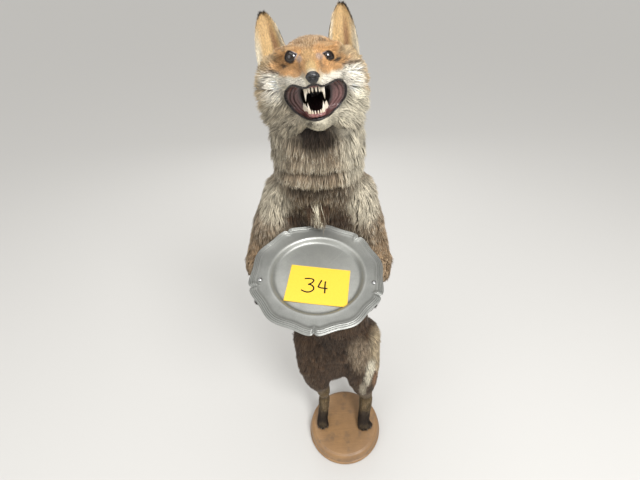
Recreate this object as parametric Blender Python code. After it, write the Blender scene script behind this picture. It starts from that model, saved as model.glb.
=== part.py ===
"""Taxidermy red fox that stands upright on a turned wooden base and holds a lobed pewter plate as a tray.

Metres, +Z up. The origin is the centre of the base's underside, and the fox faces -Y. Lengths in the
tables are millimetres. Right and left are the fox's own: its right side is at -X.
"""

import math

import bmesh
import bpy
from mathutils import Matrix, Vector

MM = 0.001
GAP = 0.4                      # clear space between two solids that touch

# Turned base: step in from the radius, and height, of each bead of its edge, from the underside up.
BASE_RADIUS = 100.0
BASE_HEIGHT = 34.0
BASE_SIDES = 36
BASE_PROFILE = ((-2.5, 0.0), (0.0, 2.5), (-0.3, 8.0), (-4.6, 10.5), (-4.2, 13.5), (-2.4, 20.0),
                (-3.6, 27.5), (-8.6, 32.2), (-10.6, BASE_HEIGHT))

# Pewter plate, in its own frame: the rim lies in its XY plane, its middle at the origin.
PLATE_CENTRE = (-48.8, -96.7, 685.0)
PLATE_TILT = 12.6              # degrees, far edge up
PLATE_ROLL = 2.6               # degrees, right side up
PLATE_RADIUS = 108.7
PLATE_LOBES = 5
PLATE_NOTCH = 52.0             # direction of one notch, degrees from +X towards +Y
PLATE_THICKNESS = 1.8
WELL_RADIUS = 73.6
WELL_DEPTH = 11.0
MOULDING = (10.5, 1.3)         # width and height of the raised edge that follows the lobes
EDGE_DROP = 1.9                # from the raised edge down to the rim's outer edge
NOTCH_STEPS = (0.0, 3.0, 7.0, 13.0, 21.0)     # degrees from a notch to its lobe's middle
SCREW_OFFSET = (87.0, -15.7)   # the two screws that hold the rim to the forepaws
SCREW = (3.6, 2.2)             # radius and height of a screw's head

# Lot card that lies in the plate's well.
CARD_SIZE = (93.0, 65.7, 0.6)
CARD_OFFSET = (2.0, -14.0)
CARD_TURN = -5.4

# Flesh and coat. Each ball is its centre x, y, z and its radii x, y, z. Neighbours in a list are joined
# by their hull, so that a list is one tapering limb.
TRUNK = ((-22, 60, 338, 86, 60, 52), (-26, 65, 440, 76, 61, 50), (-42, 72, 560, 74, 68, 60),
         (-50, 74, 680, 75, 70, 60), (-50, 62, 750, 80, 68, 42), (-49, 46, 812, 74, 60, 38),
         (-50, 38, 868, 71, 54, 36), (-50, 40, 908, 55, 46, 34))
GROIN = ((-24, 44, 330, 60, 50, 50), (-26, 34, 246, 33, 30, 34))
THROAT = ((-50, 26, 728, 56, 32, 40), (-49, 10, 800, 60, 38, 34), (-48, 2, 862, 60, 40, 34),
          (-48, 6, 896, 56, 40, 28))
FORELEGS = {
    "right": ((-108, 56, 750, 42, 46, 38), (-142, 38, 690, 34, 42, 34), (-167, 23, 617, 30, 33, 31),
              (-156, -28, 639, 27, 27, 25), (-134, -70, 662, 20, 22, 17)),
    "left": ((10, 56, 750, 42, 46, 38), (34, 38, 690, 36, 42, 34), (58, 23, 615, 30, 33, 31),
             (52, -28, 633, 27, 27, 25), (33, -72, 654, 20, 22, 17)),
}
HINDLEGS = {
    "right": ((-70, 56, 344, 61, 58, 52), (-75, 24, 284, 47, 44, 44), (-68, 6, 212, 27, 30, 30),
              (-57, 28, 150, 17, 20, 22), (-58, 40, 114, 14, 17, 17), (-60, 24, 72, 13, 14, 15),
              (-63, 4, 50, 14, 15, 13)),
    "left": ((28, 60, 340, 60, 60, 50), (36, 26, 282, 51, 46, 44), (46, 6, 212, 34, 32, 30),
             (52, 30, 150, 23, 23, 22), (60, 42, 114, 18, 19, 17), (58, 24, 72, 16, 16, 15),
             (53, 0, 50, 16, 16, 13)),
}
TAIL = ((-20, 96, 344, 35, 32, 33), (-15, 144, 312, 36, 34, 32), (-11, 172, 252, 44, 42, 38),
        (-8, 186, 180, 49, 46, 42), (-7, 190, 108, 42, 40, 36), (-6, 190, 52, 16, 16, 16))

# A paw: its middle and half sizes, then its four toes by their share of the half width, reach forward,
# and radius across.
PAWS = {
    "hind_foot_right": (-63.5, -1, 44.5, 15.5, 17, 12),
    "hind_foot_left": (52.5, -5, 44.5, 17, 18, 12),
    "forepaw_right": (-124, -100, 669, 18, 26, 14),
    "forepaw_left": (24, -102, 659, 18, 26, 14),
}
TOES = ((-0.72, 0.62, 0.32), (-0.25, 0.92, 0.33), (0.25, 0.92, 0.33), (0.72, 0.62, 0.32))

# Head, in its own frame: x to the fox's left, y to the back, z up.
HEAD_CENTRE = (-53.0, 5.0, 950.0)
HEAD_YAW = 6.5                 # degrees, towards the fox's left
HEAD_ROLL = -5.5               # its left side higher
CRANIUM = ((0, 24, -6, 58, 42, 44), (3, 3, 4, 50, 36, 43))
BROW = ((2, 2, 8, 46, 30, 36), (0, -21, 17, 33, 19, 20))
TEMPLE = ((48, 8, 6, 23, 24, 24), (44, 6, -12, 35, 30, 32))
MUZZLE = ((0, -22, 14, 24, 16, 18), (0, -46, 10, 16, 14, 13), (0, -66, 8, 11.5, 10, 9.5))
UPPER_LIP = ((8, -63, 4, 7, 9, 8), (15, -48, 2, 10, 13, 9), (30, -24, 2, 16, 18, 15))
CHEEK = ((44, 6, -12, 35, 30, 32), (42, 12, -44, 36, 34, 30))
LOWER_FACE = ((24, -6, -52, 32, 26, 20), (34, 10, -64, 36, 38, 28))
CHIN = ((4, -20, -54, 26, 18, 14), (2, -42, -51, 15, 14, 12))
NOSE = ((0, -74, 13.5, 9.2, 5.6, 6.4), (0, -76.5, 9, 5.4, 4.4, 6.0))
EYE_CENTRES = {"right": (-21.5, -21.5, 26.5), "left": (22.5, -20.5, 22.5)}
EYE_RADIUS = 10.0

# Open mouth: a rounded slot that narrows to the throat. Each station is y and its share of the size.
MOUTH_CENTRE = (3.0, -20.5)
MOUTH_HALF = (42.0, 21.0)
MOUTH_ROUNDNESS = 2.5
MOUTH_STATIONS = ((-100, 1.0), (-20, 1.0), (-12, 0.94), (0, 0.66), (12, 0.34))
MOUTH_SIDES = 32

# Ears, in the head's frame: a cupped leaf from its foot to its tip.
EAR_FOOT = (46.0, 4.0, 16.0)
EAR_TIP = (50.5, 20.0, 76.0)
EAR_HALF_WIDTH = 20.0
EAR_CUP = 14.0
EAR_THICKNESS = 3.4
EAR_ROWS = 6
EAR_COLUMNS = 6

# Tooth rows, in the head's frame: half width and y at the front and back of the arch, height of the gum's
# edge, and the way the teeth point.
UPPER_ROW = {"front": (10.6, -65.0), "back": (18.0, -20.0), "gum": -1.5, "bite": -1.0,
             "canine": (17.0, 2.5)}
LOWER_ROW = {"front": (8.8, -52.0), "back": (17.0, -14.0), "gum": -37.0, "bite": 1.0,
             "canine": (12.5, 2.3)}
CANINE_SHARE = 0.36            # of the half arch, from its middle to its canine
CANINE_SPLAY = (1.4, 2.0)      # how far a canine's tip leans out and back
GUM_RADIUS = 4.2
INCISOR = (6.5, 1.5)           # length and radius at the root
CHEEK_TOOTH = (6.5, 2.8)

FORM_VOXEL = 3.5
FORM_TRIANGLES = 2450
ROW_VOXEL = 0.8
ROW_TRIANGLES = 300
NOSE_TRIANGLES = 110

# Thin cuts that part the body: middle, normal, and width across and along.
NECK_CUT = 786.0
PARTINGS = [
    ((-49, 30, 899), (0.0, -0.384, 1.0), (240, 240)),        # head from neck
    ((-49, -7.5, 918), (0.0, 0.507, 1.0), (240, 84.1)),      # lower jaw from head, back to the cut above
    ((-49, 40, NECK_CUT), (0.0, 0.0, 1.0), (240, 220)),      # neck from chest
    ((-44, 66, 560), (0.0, 0.0, 1.0), (240, 220)),           # chest from belly
    ((-22, 66, 402), (0.0, 0.0, 1.0), (240, 220)),           # belly from hips
    ((-15, 140, 312), (0.0, 0.67, -0.74), (90, 84)),         # tail from hips
    ((-7, 184, 112), (0.0, 0.0, 1.0), (100, 100)),           # tail's white tip
    ((-168, 24, 622), (-0.1, -0.85, -0.5), (80, 130)),        # right forearm from upper arm
    ((57, 24, 622), (0.1, -0.85, -0.5), (72, 130)),           # left forearm from upper arm
    ((-133, -75, 663), (0.0, -1.0, 0.1), (60, 60)),          # right forepaw from forearm
    ((32, -77, 655), (0.0, -1.0, 0.1), (60, 60)),            # left forepaw from forearm
    ((-68, 8, 200), (0.0, 0.0, 1.0), (76, 84)),              # right shank from thigh
    ((46, 8, 200), (0.0, 0.0, 1.0), (84, 84)),               # left shank from thigh
    ((-58, 40, 104), (0.0, 0.3, 1.0), (50, 60)),             # right hind foot from shank
    ((60, 42, 104), (0.0, 0.3, 1.0), (56, 60)),              # left hind foot from shank
]
# Cuts that stand along Y: x and z of their two ends, and their reach in y.
UPRIGHT_CUTS = (
    ((-110, NECK_CUT), (-130, 560), (-60, 140)),             # right foreleg from chest
    ((10, NECK_CUT), (31, 560), (-60, 140)),                 # left foreleg from chest
    ((-23, 196), (-150, 352), (-60, 128)),                   # right thigh from hips
    ((-25, 196), (112, 352), (-60, 128)),                    # left thigh from hips
)

# A point inside each node of the parted body.
BODY_NODES = {
    "head": (-55, 20, 950), "lower_jaw": (-48, -10, 893), "neck": (-49, 30, 840), "chest": (-48, 68, 680),
    "belly": (-30, 66, 480), "hips": (-20, 60, 345), "tail": (-9, 180, 210), "tail_tip": (-6, 192, 80),
    "upper_arm_right": (-140, 40, 690), "forearm_right": (-151, -35, 645),
    "forepaw_right": (-125, -105, 660), "upper_arm_left": (34, 40, 690),
    "forearm_left": (47, -35, 640), "forepaw_left": (26, -106, 652),
    "thigh_right": (-76, 30, 262), "shank_right": (-60, 24, 150), "hind_foot_right": (-62, 12, 58),
    "thigh_left": (40, 30, 262), "shank_left": (52, 26, 150), "hind_foot_left": (56, 10, 58),
}

# Colour, roughness and metallic value of each material.
FINISHES = {
    "coat": ((0.33, 0.25, 0.16, 1.0), 0.85, 0.0),
    "face": ((0.55, 0.33, 0.14, 1.0), 0.85, 0.0),
    "sock": ((0.05, 0.035, 0.03, 1.0), 0.85, 0.0),
    "brush": ((0.80, 0.76, 0.68, 1.0), 0.85, 0.0),
    "wood": ((0.42, 0.24, 0.12, 1.0), 0.45, 0.0),
    "pewter": ((0.42, 0.42, 0.41, 1.0), 0.38, 1.0),
    "steel": ((0.70, 0.70, 0.70, 1.0), 0.25, 1.0),
    "card": ((0.95, 0.78, 0.10, 1.0), 0.60, 0.0),
    "eye": ((0.01, 0.008, 0.006, 1.0), 0.05, 0.0),
    "nose": ((0.012, 0.011, 0.011, 1.0), 0.25, 0.0),
    "tooth": ((0.80, 0.72, 0.58, 1.0), 0.30, 0.0),
}


def finish(name):
    """The named material, made once."""
    material = bpy.data.materials.get(name)
    if material is None:
        colour, roughness, metallic = FINISHES[name]
        material = bpy.data.materials.new(name)
        material.use_nodes = True
        shader = material.node_tree.nodes["Principled BSDF"]
        shader.inputs["Base Color"].default_value = colour
        shader.inputs["Roughness"].default_value = roughness
        shader.inputs["Metallic"].default_value = metallic
    return material


def add_object(name, mesh, finish_name=None, smooth=True):
    """A new object for a mesh. Without a finish it is a guide, which the model leaves out."""
    item = bpy.data.objects.new(name, mesh)
    bpy.context.collection.objects.link(item)
    if finish_name:
        mesh.materials.clear()
        mesh.materials.append(finish(finish_name))
    else:
        item.hide_render = True
        item.display_type = "WIRE"
    if smooth:
        mesh.shade_smooth()
        mesh.set_sharp_from_angle(angle=math.radians(35))
    return item


def to_mesh(shape, name):
    """Close a bmesh into a mesh whose faces point out."""
    bmesh.ops.recalc_face_normals(shape, faces=shape.faces)
    mesh = bpy.data.meshes.new(name)
    shape.to_mesh(mesh)
    shape.free()
    return mesh


def modifier(item, kind, **settings):
    made = item.modifiers.new(kind.title(), kind)
    for key, value in settings.items():
        setattr(made, key, value)
    return made


def evaluated(item):
    """The object's mesh with its modifiers applied."""
    graph = bpy.context.evaluated_depsgraph_get()
    return bpy.data.meshes.new_from_object(item.evaluated_get(graph))


def cut(item, cutter):
    modifier(item, "BOOLEAN", object=cutter, operation="DIFFERENCE", solver="EXACT")


def grown(item, amount):
    """A guide that is the object's evaluated shape, grown outwards."""
    guide = add_object(item.name + "_space", evaluated(item))
    modifier(guide, "DISPLACE", strength=amount * MM, mid_level=0.0, direction="NORMAL")
    return guide


def reduce_to(item, triangles):
    """Collapse the object's evaluated mesh to about the given number of triangles."""
    faces = len(evaluated(item).polygons)
    modifier(item, "DECIMATE", ratio=min(1.0, triangles / (2.0 * faces)), use_collapse_triangulate=True)


def ball_points(ball, rings=8, segments=14):
    """Points over a ball's surface, poles included."""
    x, y, z, rx, ry, rz = ball
    points = [Vector((x, y, z + rz)), Vector((x, y, z - rz))]
    for ring in range(1, rings):
        polar = math.pi * ring / rings
        for segment in range(segments):
            turn = 2 * math.pi * segment / segments
            points.append(Vector((x + rx * math.sin(polar) * math.cos(turn),
                                  y + ry * math.sin(polar) * math.sin(turn),
                                  z + rz * math.cos(polar))))
    return points


def add_limb(shape, balls, place=Matrix()):
    """Join each ball to the next by their hull."""
    for first, second in zip(balls, balls[1:]):
        points = ball_points(first) + ball_points(second)
        verts = [shape.verts.new((place @ point) * MM) for point in points]
        bmesh.ops.convex_hull(shape, input=verts)
        bmesh.ops.delete(shape, geom=[vert for vert in verts if not vert.link_faces], context="VERTS")


def mirrored(balls):
    return [(-ball[0], *ball[1:]) for ball in balls]


def head_place():
    """The head's frame, in millimetres."""
    yaw = Matrix.Rotation(math.radians(HEAD_YAW), 4, "Z")
    roll = Matrix.Rotation(math.radians(HEAD_ROLL), 4, "Y")
    return Matrix.Translation(HEAD_CENTRE) @ yaw @ roll


def plate_place():
    """The plate's frame, in millimetres."""
    tilt = Matrix.Rotation(math.radians(PLATE_TILT), 4, "X")
    roll = Matrix.Rotation(math.radians(PLATE_ROLL), 4, "Y")
    return Matrix.Translation(PLATE_CENTRE) @ tilt @ roll


def add_paw(shape, paw):
    """A paw's pad with four toes that reach forward from it."""
    x, y, z, half_x, half_y, half_z = paw
    pad = (x, y, z, half_x * 0.92, half_y * 0.8, half_z)
    for across, reach, radius in TOES:
        toe = (x + across * half_x, y - reach * half_y, z - half_z * 0.3,
               radius * half_x, 0.42 * half_y, 0.62 * half_z)
        add_limb(shape, (pad, toe))


def fox_form():
    """The whole furred body as one closed form, before its mouth, sockets and partings are cut."""
    shape = bmesh.new()
    for balls in (TRUNK, THROAT, GROIN, TAIL, *FORELEGS.values(), *HINDLEGS.values()):
        add_limb(shape, balls)
    for paw in PAWS.values():
        add_paw(shape, paw)
    place = head_place()
    for balls in (CRANIUM, BROW, MUZZLE, CHIN):
        add_limb(shape, balls, place)
    for balls in (UPPER_LIP, TEMPLE, CHEEK, LOWER_FACE):
        add_limb(shape, balls, place)
        add_limb(shape, mirrored(balls), place)
    rough = add_object("fox_rough", to_mesh(shape, "fox_rough"))
    modifier(rough, "REMESH", mode="VOXEL", voxel_size=FORM_VOXEL * MM)
    modifier(rough, "SMOOTH", factor=0.5, iterations=7)
    cut(rough, mouth_cutter())
    modifier(rough, "REMESH", mode="VOXEL", voxel_size=FORM_VOXEL * MM)
    modifier(rough, "SMOOTH", factor=0.5, iterations=2)
    form = add_object("fox_form", evaluated(rough))
    reduce_to(form, FORM_TRIANGLES)
    return form


def superellipse(turn, half, roundness):
    """A point on a rounded slot of the given half sizes."""
    reach = lambda part: math.copysign(abs(part) ** (2.0 / roundness), part)
    return half[0] * reach(math.cos(turn)), half[1] * reach(math.sin(turn))


def mouth_cutter():
    """The mouth's hollow, lofted from the lips to the throat."""
    shape = bmesh.new()
    place = head_place()
    loops = []
    for depth, share in MOUTH_STATIONS:
        loop = []
        for side in range(MOUTH_SIDES):
            turn = 2 * math.pi * side / MOUTH_SIDES
            across, up = superellipse(turn, MOUTH_HALF, MOUTH_ROUNDNESS)
            point = Vector((MOUTH_CENTRE[0] + across * share, depth, MOUTH_CENTRE[1] + up * share))
            loop.append(shape.verts.new((place @ point) * MM))
        loops.append(loop)
    for first, second in zip(loops, loops[1:]):
        for side in range(MOUTH_SIDES):
            after = (side + 1) % MOUTH_SIDES
            shape.faces.new((first[side], first[after], second[after], second[side]))
    shape.faces.new(loops[0])
    shape.faces.new(loops[-1])
    return add_object("mouth_cutter", to_mesh(shape, "mouth_cutter"), smooth=False)


def parting_cutter(name, middle, normal, size):
    """A thin flat box: its faces look along the normal, its first side lies level."""
    upward = Vector(normal).normalized()
    across = Vector((1.0, 0.0, 0.0)) - upward * upward.x
    across.normalize()
    along = upward.cross(across)
    turn = Matrix((across, along, upward)).transposed().to_4x4()
    shape = bmesh.new()
    bmesh.ops.create_cube(shape, size=1.0)
    bmesh.ops.scale(shape, vec=Vector((size[0], size[1], GAP)) * MM, verts=shape.verts)
    bmesh.ops.transform(shape, matrix=Matrix.Translation(Vector(middle) * MM) @ turn, verts=shape.verts)
    return add_object(name, to_mesh(shape, name), smooth=False)


def partings():
    """Every thin cut, the level ones and the upright ones."""
    cutters = [parting_cutter(f"parting_{number}", *entry) for number, entry in enumerate(PARTINGS)]
    for number, (top, bottom, reach) in enumerate(UPRIGHT_CUTS):
        slope = Vector((bottom[0] - top[0], 0.0, bottom[1] - top[1]))
        middle = ((top[0] + bottom[0]) / 2, (reach[0] + reach[1]) / 2, (top[1] + bottom[1]) / 2)
        normal = slope.normalized().cross(Vector((0.0, 1.0, 0.0)))
        size = (slope.length, reach[1] - reach[0])
        cutters.append(parting_cutter(f"upright_{number}", middle, normal, size))
    return cutters


def islands(mesh):
    """The separate bodies of a mesh, each as its own bmesh."""
    whole = bmesh.new()
    whole.from_mesh(mesh)
    waiting = set(whole.verts)
    pieces = []
    while waiting:
        found = {waiting.pop()}
        edge_of = list(found)
        while edge_of:
            vert = edge_of.pop()
            for edge in vert.link_edges:
                other = edge.other_vert(vert)
                if other not in found:
                    found.add(other)
                    edge_of.append(other)
        waiting -= found
        piece = bmesh.new()
        copies = {vert: piece.verts.new(vert.co) for vert in found}
        for face in {face for vert in found for face in vert.link_faces}:
            piece.faces.new([copies[vert] for vert in face.verts])
        pieces.append(piece)
    whole.free()
    return pieces


def middle_of(piece):
    low = Vector([min(vert.co[axis] for vert in piece.verts) for axis in range(3)])
    high = Vector([max(vert.co[axis] for vert in piece.verts) for axis in range(3)])
    return (low + high) / 2


def body_finish(name):
    if name in ("head", "lower_jaw"):
        return "face"
    if name == "tail_tip":
        return "brush"
    return "sock" if "paw" in name or "foot" in name else "coat"


def add_body_nodes(form):
    """Part the finished form, and name each body by the node whose point is nearest its middle."""
    for piece in islands(evaluated(form)):
        if piece.calc_volume(signed=False) < (4 * MM) ** 3:
            piece.free()
            continue
        centre = middle_of(piece)
        name = min(BODY_NODES, key=lambda node: (Vector(BODY_NODES[node]) * MM - centre).length)
        add_object(name, to_mesh(piece, name), body_finish(name))


def add_ear(name, side, form_space):
    """A cupped leaf of skin and fur, cut off where it meets the head."""
    place = head_place()
    foot = Vector((EAR_FOOT[0] * side, EAR_FOOT[1], EAR_FOOT[2]))
    tip = Vector((EAR_TIP[0] * side, EAR_TIP[1], EAR_TIP[2]))
    shape = bmesh.new()
    rows = []
    for row in range(EAR_ROWS):
        t = row / (EAR_ROWS - 1)
        width = EAR_HALF_WIDTH * max(0.08, (1.0 - t ** 2.4) ** 0.75)
        cup = EAR_CUP * (1.0 - 0.75 * t)
        points = []
        for column in range(EAR_COLUMNS + 1):
            across = 2.0 * column / EAR_COLUMNS - 1.0
            lean = -across * side * 5.0 * (1 - t)
            offset = Vector((across * width, cup * (1.0 - across ** 2) - 0.4 * cup, lean))
            points.append(shape.verts.new((place @ (foot.lerp(tip, t) + offset)) * MM))
        rows.append(points)
    for lower, upper in zip(rows, rows[1:]):
        for column in range(EAR_COLUMNS):
            shape.faces.new((lower[column], lower[column + 1], upper[column + 1], upper[column]))
    ear = add_object(name, to_mesh(shape, name), "face")
    modifier(ear, "SOLIDIFY", thickness=EAR_THICKNESS * MM, offset=0.0, use_even_offset=True)
    cut(ear, form_space)
    return ear


def arch(row, share):
    """Where a tooth row's arch is, from -1 at its right end over 0 at its front to 1 at its left end."""
    front_half, front = row["front"]
    back_half, back = row["back"]
    part = abs(share)
    if part < CANINE_SHARE:
        turn = 0.5 * math.pi * part / CANINE_SHARE
        half, y = front_half * math.sin(turn), front + 6.0 * (1.0 - math.cos(turn))
    else:
        part = (part - CANINE_SHARE) / (1.0 - CANINE_SHARE)
        half, y = front_half + (back_half - front_half) * part, front + 6.0 + (back - front - 6.0) * part
    return Vector((math.copysign(half, share), y, row["gum"]))


def add_tooth_row(name, row):
    """A gum that follows its arch, with incisors, two canines and cheek teeth grown from it."""
    place = head_place()
    shape = bmesh.new()
    bite = Vector((0.0, 0.0, row["bite"]))
    gum = [(*(arch(row, step / 8.0) - bite * GUM_RADIUS), GUM_RADIUS * 0.7, GUM_RADIUS * 0.7, GUM_RADIUS)
           for step in range(-8, 9)]
    add_limb(shape, gum, place)
    teeth = [(share, *INCISOR) for share in (0.04, 0.12, 0.21)]
    teeth += [(CANINE_SHARE, *row["canine"])]
    teeth += [(share, *CHEEK_TOOTH) for share in (0.55, 0.70, 0.85)]
    for share, length, radius in teeth:
        for side in (-1, 1):
            root = arch(row, share * side)
            crown = root + bite * length
            if share == CANINE_SHARE:
                crown.x += side * CANINE_SPLAY[0]
                crown.y += CANINE_SPLAY[1]
            add_limb(shape, ((*root, radius, radius, radius), (*crown, 0.5, 0.5, 0.5)), place)
    teeth_row = add_object(name, to_mesh(shape, name), "tooth")
    modifier(teeth_row, "REMESH", mode="VOXEL", voxel_size=ROW_VOXEL * MM)
    reduce_to(teeth_row, ROW_TRIANGLES)
    return teeth_row


def add_nose():
    shape = bmesh.new()
    add_limb(shape, NOSE, head_place())
    nose = add_object("nose", to_mesh(shape, "nose"), "nose")
    modifier(nose, "REMESH", mode="VOXEL", voxel_size=1.2 * MM)
    reduce_to(nose, NOSE_TRIANGLES)
    return nose


def add_eye(side):
    name = "eye_" + side
    shape = bmesh.new()
    bmesh.ops.create_uvsphere(shape, u_segments=12, v_segments=6, radius=EYE_RADIUS * MM)
    centre = head_place() @ Vector(EYE_CENTRES[side])
    bmesh.ops.translate(shape, vec=centre * MM, verts=shape.verts)
    return add_object(name, to_mesh(shape, name), "eye")


def lathe(name, profile, sides, place=Matrix()):
    """Spin a profile of radius and height about Z, closed by the profile's own ends on the axis."""
    shape = bmesh.new()
    rings = []
    for radius, height in profile:
        if radius == 0:
            rings.append([shape.verts.new((place @ Vector((0, 0, height))) * MM)])
            continue
        ring = []
        for side in range(sides):
            turn = 2 * math.pi * side / sides
            point = Vector((radius * math.cos(turn), radius * math.sin(turn), height))
            ring.append(shape.verts.new((place @ point) * MM))
        rings.append(ring)
    bridge_rings(shape, rings, sides)
    return to_mesh(shape, name)


def bridge_rings(shape, rings, sides):
    """Skin a stack of rings. A ring of one point is a pole."""
    for first, second in zip(rings, rings[1:]):
        for side in range(sides):
            after = (side + 1) % sides
            corners = [first[side % len(first)], first[after % len(first)],
                       second[after % len(second)], second[side % len(second)]]
            shape.faces.new(list(dict.fromkeys(corners)))


def add_base():
    edge = [(BASE_RADIUS + step, height) for step, height in BASE_PROFILE]
    profile = [(0, 0), *edge, (0, BASE_HEIGHT)]
    return add_object("base_disc", lathe("base_disc", profile, BASE_SIDES), "wood")


def plate_angles():
    """Directions of the plate's outline points: closer together near a notch."""
    lobe = 360.0 / PLATE_LOBES
    steps = list(NOTCH_STEPS) + [lobe / 2] + [lobe - step for step in reversed(NOTCH_STEPS[1:])]
    return [(lobe * number + step, step) for number in range(PLATE_LOBES) for step in steps]


def plate_outline(step):
    """The outline's reach at an angle from a notch: five bracket-shaped lobes that meet in cusps."""
    wave = math.radians(step) * PLATE_LOBES
    lobe = 360.0 / PLATE_LOBES
    from_notch = min(step, lobe - step)
    return PLATE_RADIUS * (0.9755 - 0.0145 * math.cos(wave) + 0.010 * math.cos(2 * wave)
                           - 0.050 * math.exp(-from_notch / 2.2))


def plate_rings():
    """Rings of the plate, from the middle of its well over the rim and back underneath. Each is the
    radius of a plain circle, how far it follows the lobes, the inset from the lobes, and its height."""
    width, rise = MOULDING
    under = -PLATE_THICKNESS
    return ((0.0, 0.0, 0.0, -WELL_DEPTH), (WELL_RADIUS - 4.5, 0.0, 0.0, -WELL_DEPTH),
            (WELL_RADIUS - 1.6, 0.0, 0.0, -WELL_DEPTH + 2.6), (WELL_RADIUS, 0.0, 0.0, 0.0),
            (0.0, 1.0, width, 0.0), (0.0, 1.0, width - 2.5, rise), (0.0, 1.0, 2.0, rise - 0.4),
            (0.0, 1.0, 0.0, rise - EDGE_DROP), (0.0, 1.0, 1.0, rise - EDGE_DROP + under),
            (0.0, 1.0, width, under),
            (WELL_RADIUS + 1.0, 0.0, 0.0, under),
            (WELL_RADIUS - 1.4, 0.0, 0.0, -WELL_DEPTH + 1.6 + under),
            (WELL_RADIUS - 4.0, 0.0, 0.0, -WELL_DEPTH + under), (0.0, 0.0, 0.0, -WELL_DEPTH + under))


def add_plate():
    shape = bmesh.new()
    place = plate_place()
    angles = plate_angles()
    rings = []
    for radius, follow, inset, height in plate_rings():
        ring = []
        for angle, step in angles:
            reach = radius + follow * (plate_outline(step) - inset)
            turn = math.radians(angle + PLATE_NOTCH)
            point = Vector((reach * math.cos(turn), reach * math.sin(turn), height))
            ring.append(shape.verts.new((place @ point) * MM))
            if reach == 0:
                break
        rings.append(ring)
    bridge_rings(shape, rings, len(angles))
    return add_object("plate", to_mesh(shape, "plate"), "pewter")


def plate_space():
    """A guide that the plate fills with its gap, from its well's underside up through its rim."""
    well_foot = -WELL_DEPTH - PLATE_THICKNESS - GAP
    profile = ((0, well_foot), (WELL_RADIUS, well_foot), (WELL_RADIUS + 3, -PLATE_THICKNESS - GAP),
               (PLATE_RADIUS - MOULDING[0], -PLATE_THICKNESS - GAP),
               (PLATE_RADIUS, MOULDING[1] - EDGE_DROP - PLATE_THICKNESS - 2 * GAP),
               (PLATE_RADIUS + 1.5, MOULDING[1] - EDGE_DROP), (PLATE_RADIUS + 1.5, 5.0), (0, 5.0))
    return add_object("plate_space", lathe("plate_space", profile, 40, plate_place()), smooth=False)


def add_screw(name, side):
    radius, height = SCREW
    place = plate_place() @ Matrix.Translation((SCREW_OFFSET[0] * side, SCREW_OFFSET[1], GAP))
    profile = ((0, 0), (radius, 0), (radius, height * 0.35), (radius * 0.7, height * 0.85), (0, height))
    return add_object(name, lathe(name, profile, 8, place), "steel")


def add_card():
    shape = bmesh.new()
    bmesh.ops.create_cube(shape, size=1.0)
    bmesh.ops.scale(shape, vec=Vector(CARD_SIZE) * MM, verts=shape.verts)
    offset = Vector((*CARD_OFFSET, -WELL_DEPTH + GAP + CARD_SIZE[2] / 2))
    place = plate_place() @ Matrix.Translation(offset) @ Matrix.Rotation(math.radians(CARD_TURN), 4, "Z")
    place.translation *= MM
    bmesh.ops.transform(shape, matrix=place, verts=shape.verts)
    return add_object("lot_card", to_mesh(shape, "lot_card"), "card", smooth=False)


def base_space():
    """A guide that keeps the soles clear of the base's top."""
    top = BASE_HEIGHT + GAP
    profile = ((0, -20.0), (BASE_RADIUS + 2, -20.0), (BASE_RADIUS + 2, top), (0, top))
    return add_object("base_space", lathe("base_space", profile, 32), smooth=False)


def build():
    for item in list(bpy.data.objects):
        bpy.data.objects.remove(item, do_unlink=True)
    add_base()
    add_plate()
    add_card()
    add_screw("plate_screw_right", -1)
    add_screw("plate_screw_left", 1)
    form = fox_form()
    form_space = grown(form, GAP)
    add_ear("ear_right", -1, form_space)
    add_ear("ear_left", 1, form_space)
    set_in = [add_eye("right"), add_eye("left"), add_nose(),
              add_tooth_row("upper_teeth", UPPER_ROW), add_tooth_row("lower_teeth", LOWER_ROW)]
    for piece in set_in:
        cut(form, grown(piece, GAP))
    for cutter in (plate_space(), base_space(), *partings()):
        cut(form, cutter)
    add_body_nodes(form)


build()
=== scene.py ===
import math
import bmesh
import bpy
import numpy as np
from mathutils import Matrix, Vector
from mathutils.bvhtree import BVHTree


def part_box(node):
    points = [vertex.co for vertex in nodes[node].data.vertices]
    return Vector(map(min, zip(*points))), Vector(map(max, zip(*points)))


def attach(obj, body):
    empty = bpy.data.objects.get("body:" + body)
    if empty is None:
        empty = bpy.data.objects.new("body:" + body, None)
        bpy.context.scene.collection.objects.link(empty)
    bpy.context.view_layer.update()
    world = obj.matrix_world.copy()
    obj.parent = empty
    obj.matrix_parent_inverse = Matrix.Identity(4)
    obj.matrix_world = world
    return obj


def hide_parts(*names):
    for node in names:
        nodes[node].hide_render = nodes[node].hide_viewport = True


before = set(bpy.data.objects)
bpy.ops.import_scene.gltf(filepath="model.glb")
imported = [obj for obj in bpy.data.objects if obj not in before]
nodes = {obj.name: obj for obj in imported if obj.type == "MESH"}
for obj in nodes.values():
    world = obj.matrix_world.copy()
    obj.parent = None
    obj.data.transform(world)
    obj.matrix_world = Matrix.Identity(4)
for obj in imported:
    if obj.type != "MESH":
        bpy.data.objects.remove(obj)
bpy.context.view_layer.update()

mm = 0.001
signs = {"right": -1, "left": 1}   # of x on the fox's two sides

# The head's own frame: x to the fox's left, y to the back, z up, in millimetres.
headPlace = {"centre": (-53.0, 5.0, 950.0), "yaw": 6.5, "roll": -5.5}
headFrame = (Matrix.Translation(headPlace["centre"])
             @ Matrix.Rotation(math.radians(headPlace["yaw"]), 4, "Z")
             @ Matrix.Rotation(math.radians(headPlace["roll"]), 4, "Y"))
headTurn = np.array(headFrame.to_3x3())
headCentre = np.array(headPlace["centre"])


def toHead(points):
    return (points / mm - headCentre) @ headTurn


def fromHead(points):
    return (np.asarray(points, float) @ headTurn.T + headCentre) * mm


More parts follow.
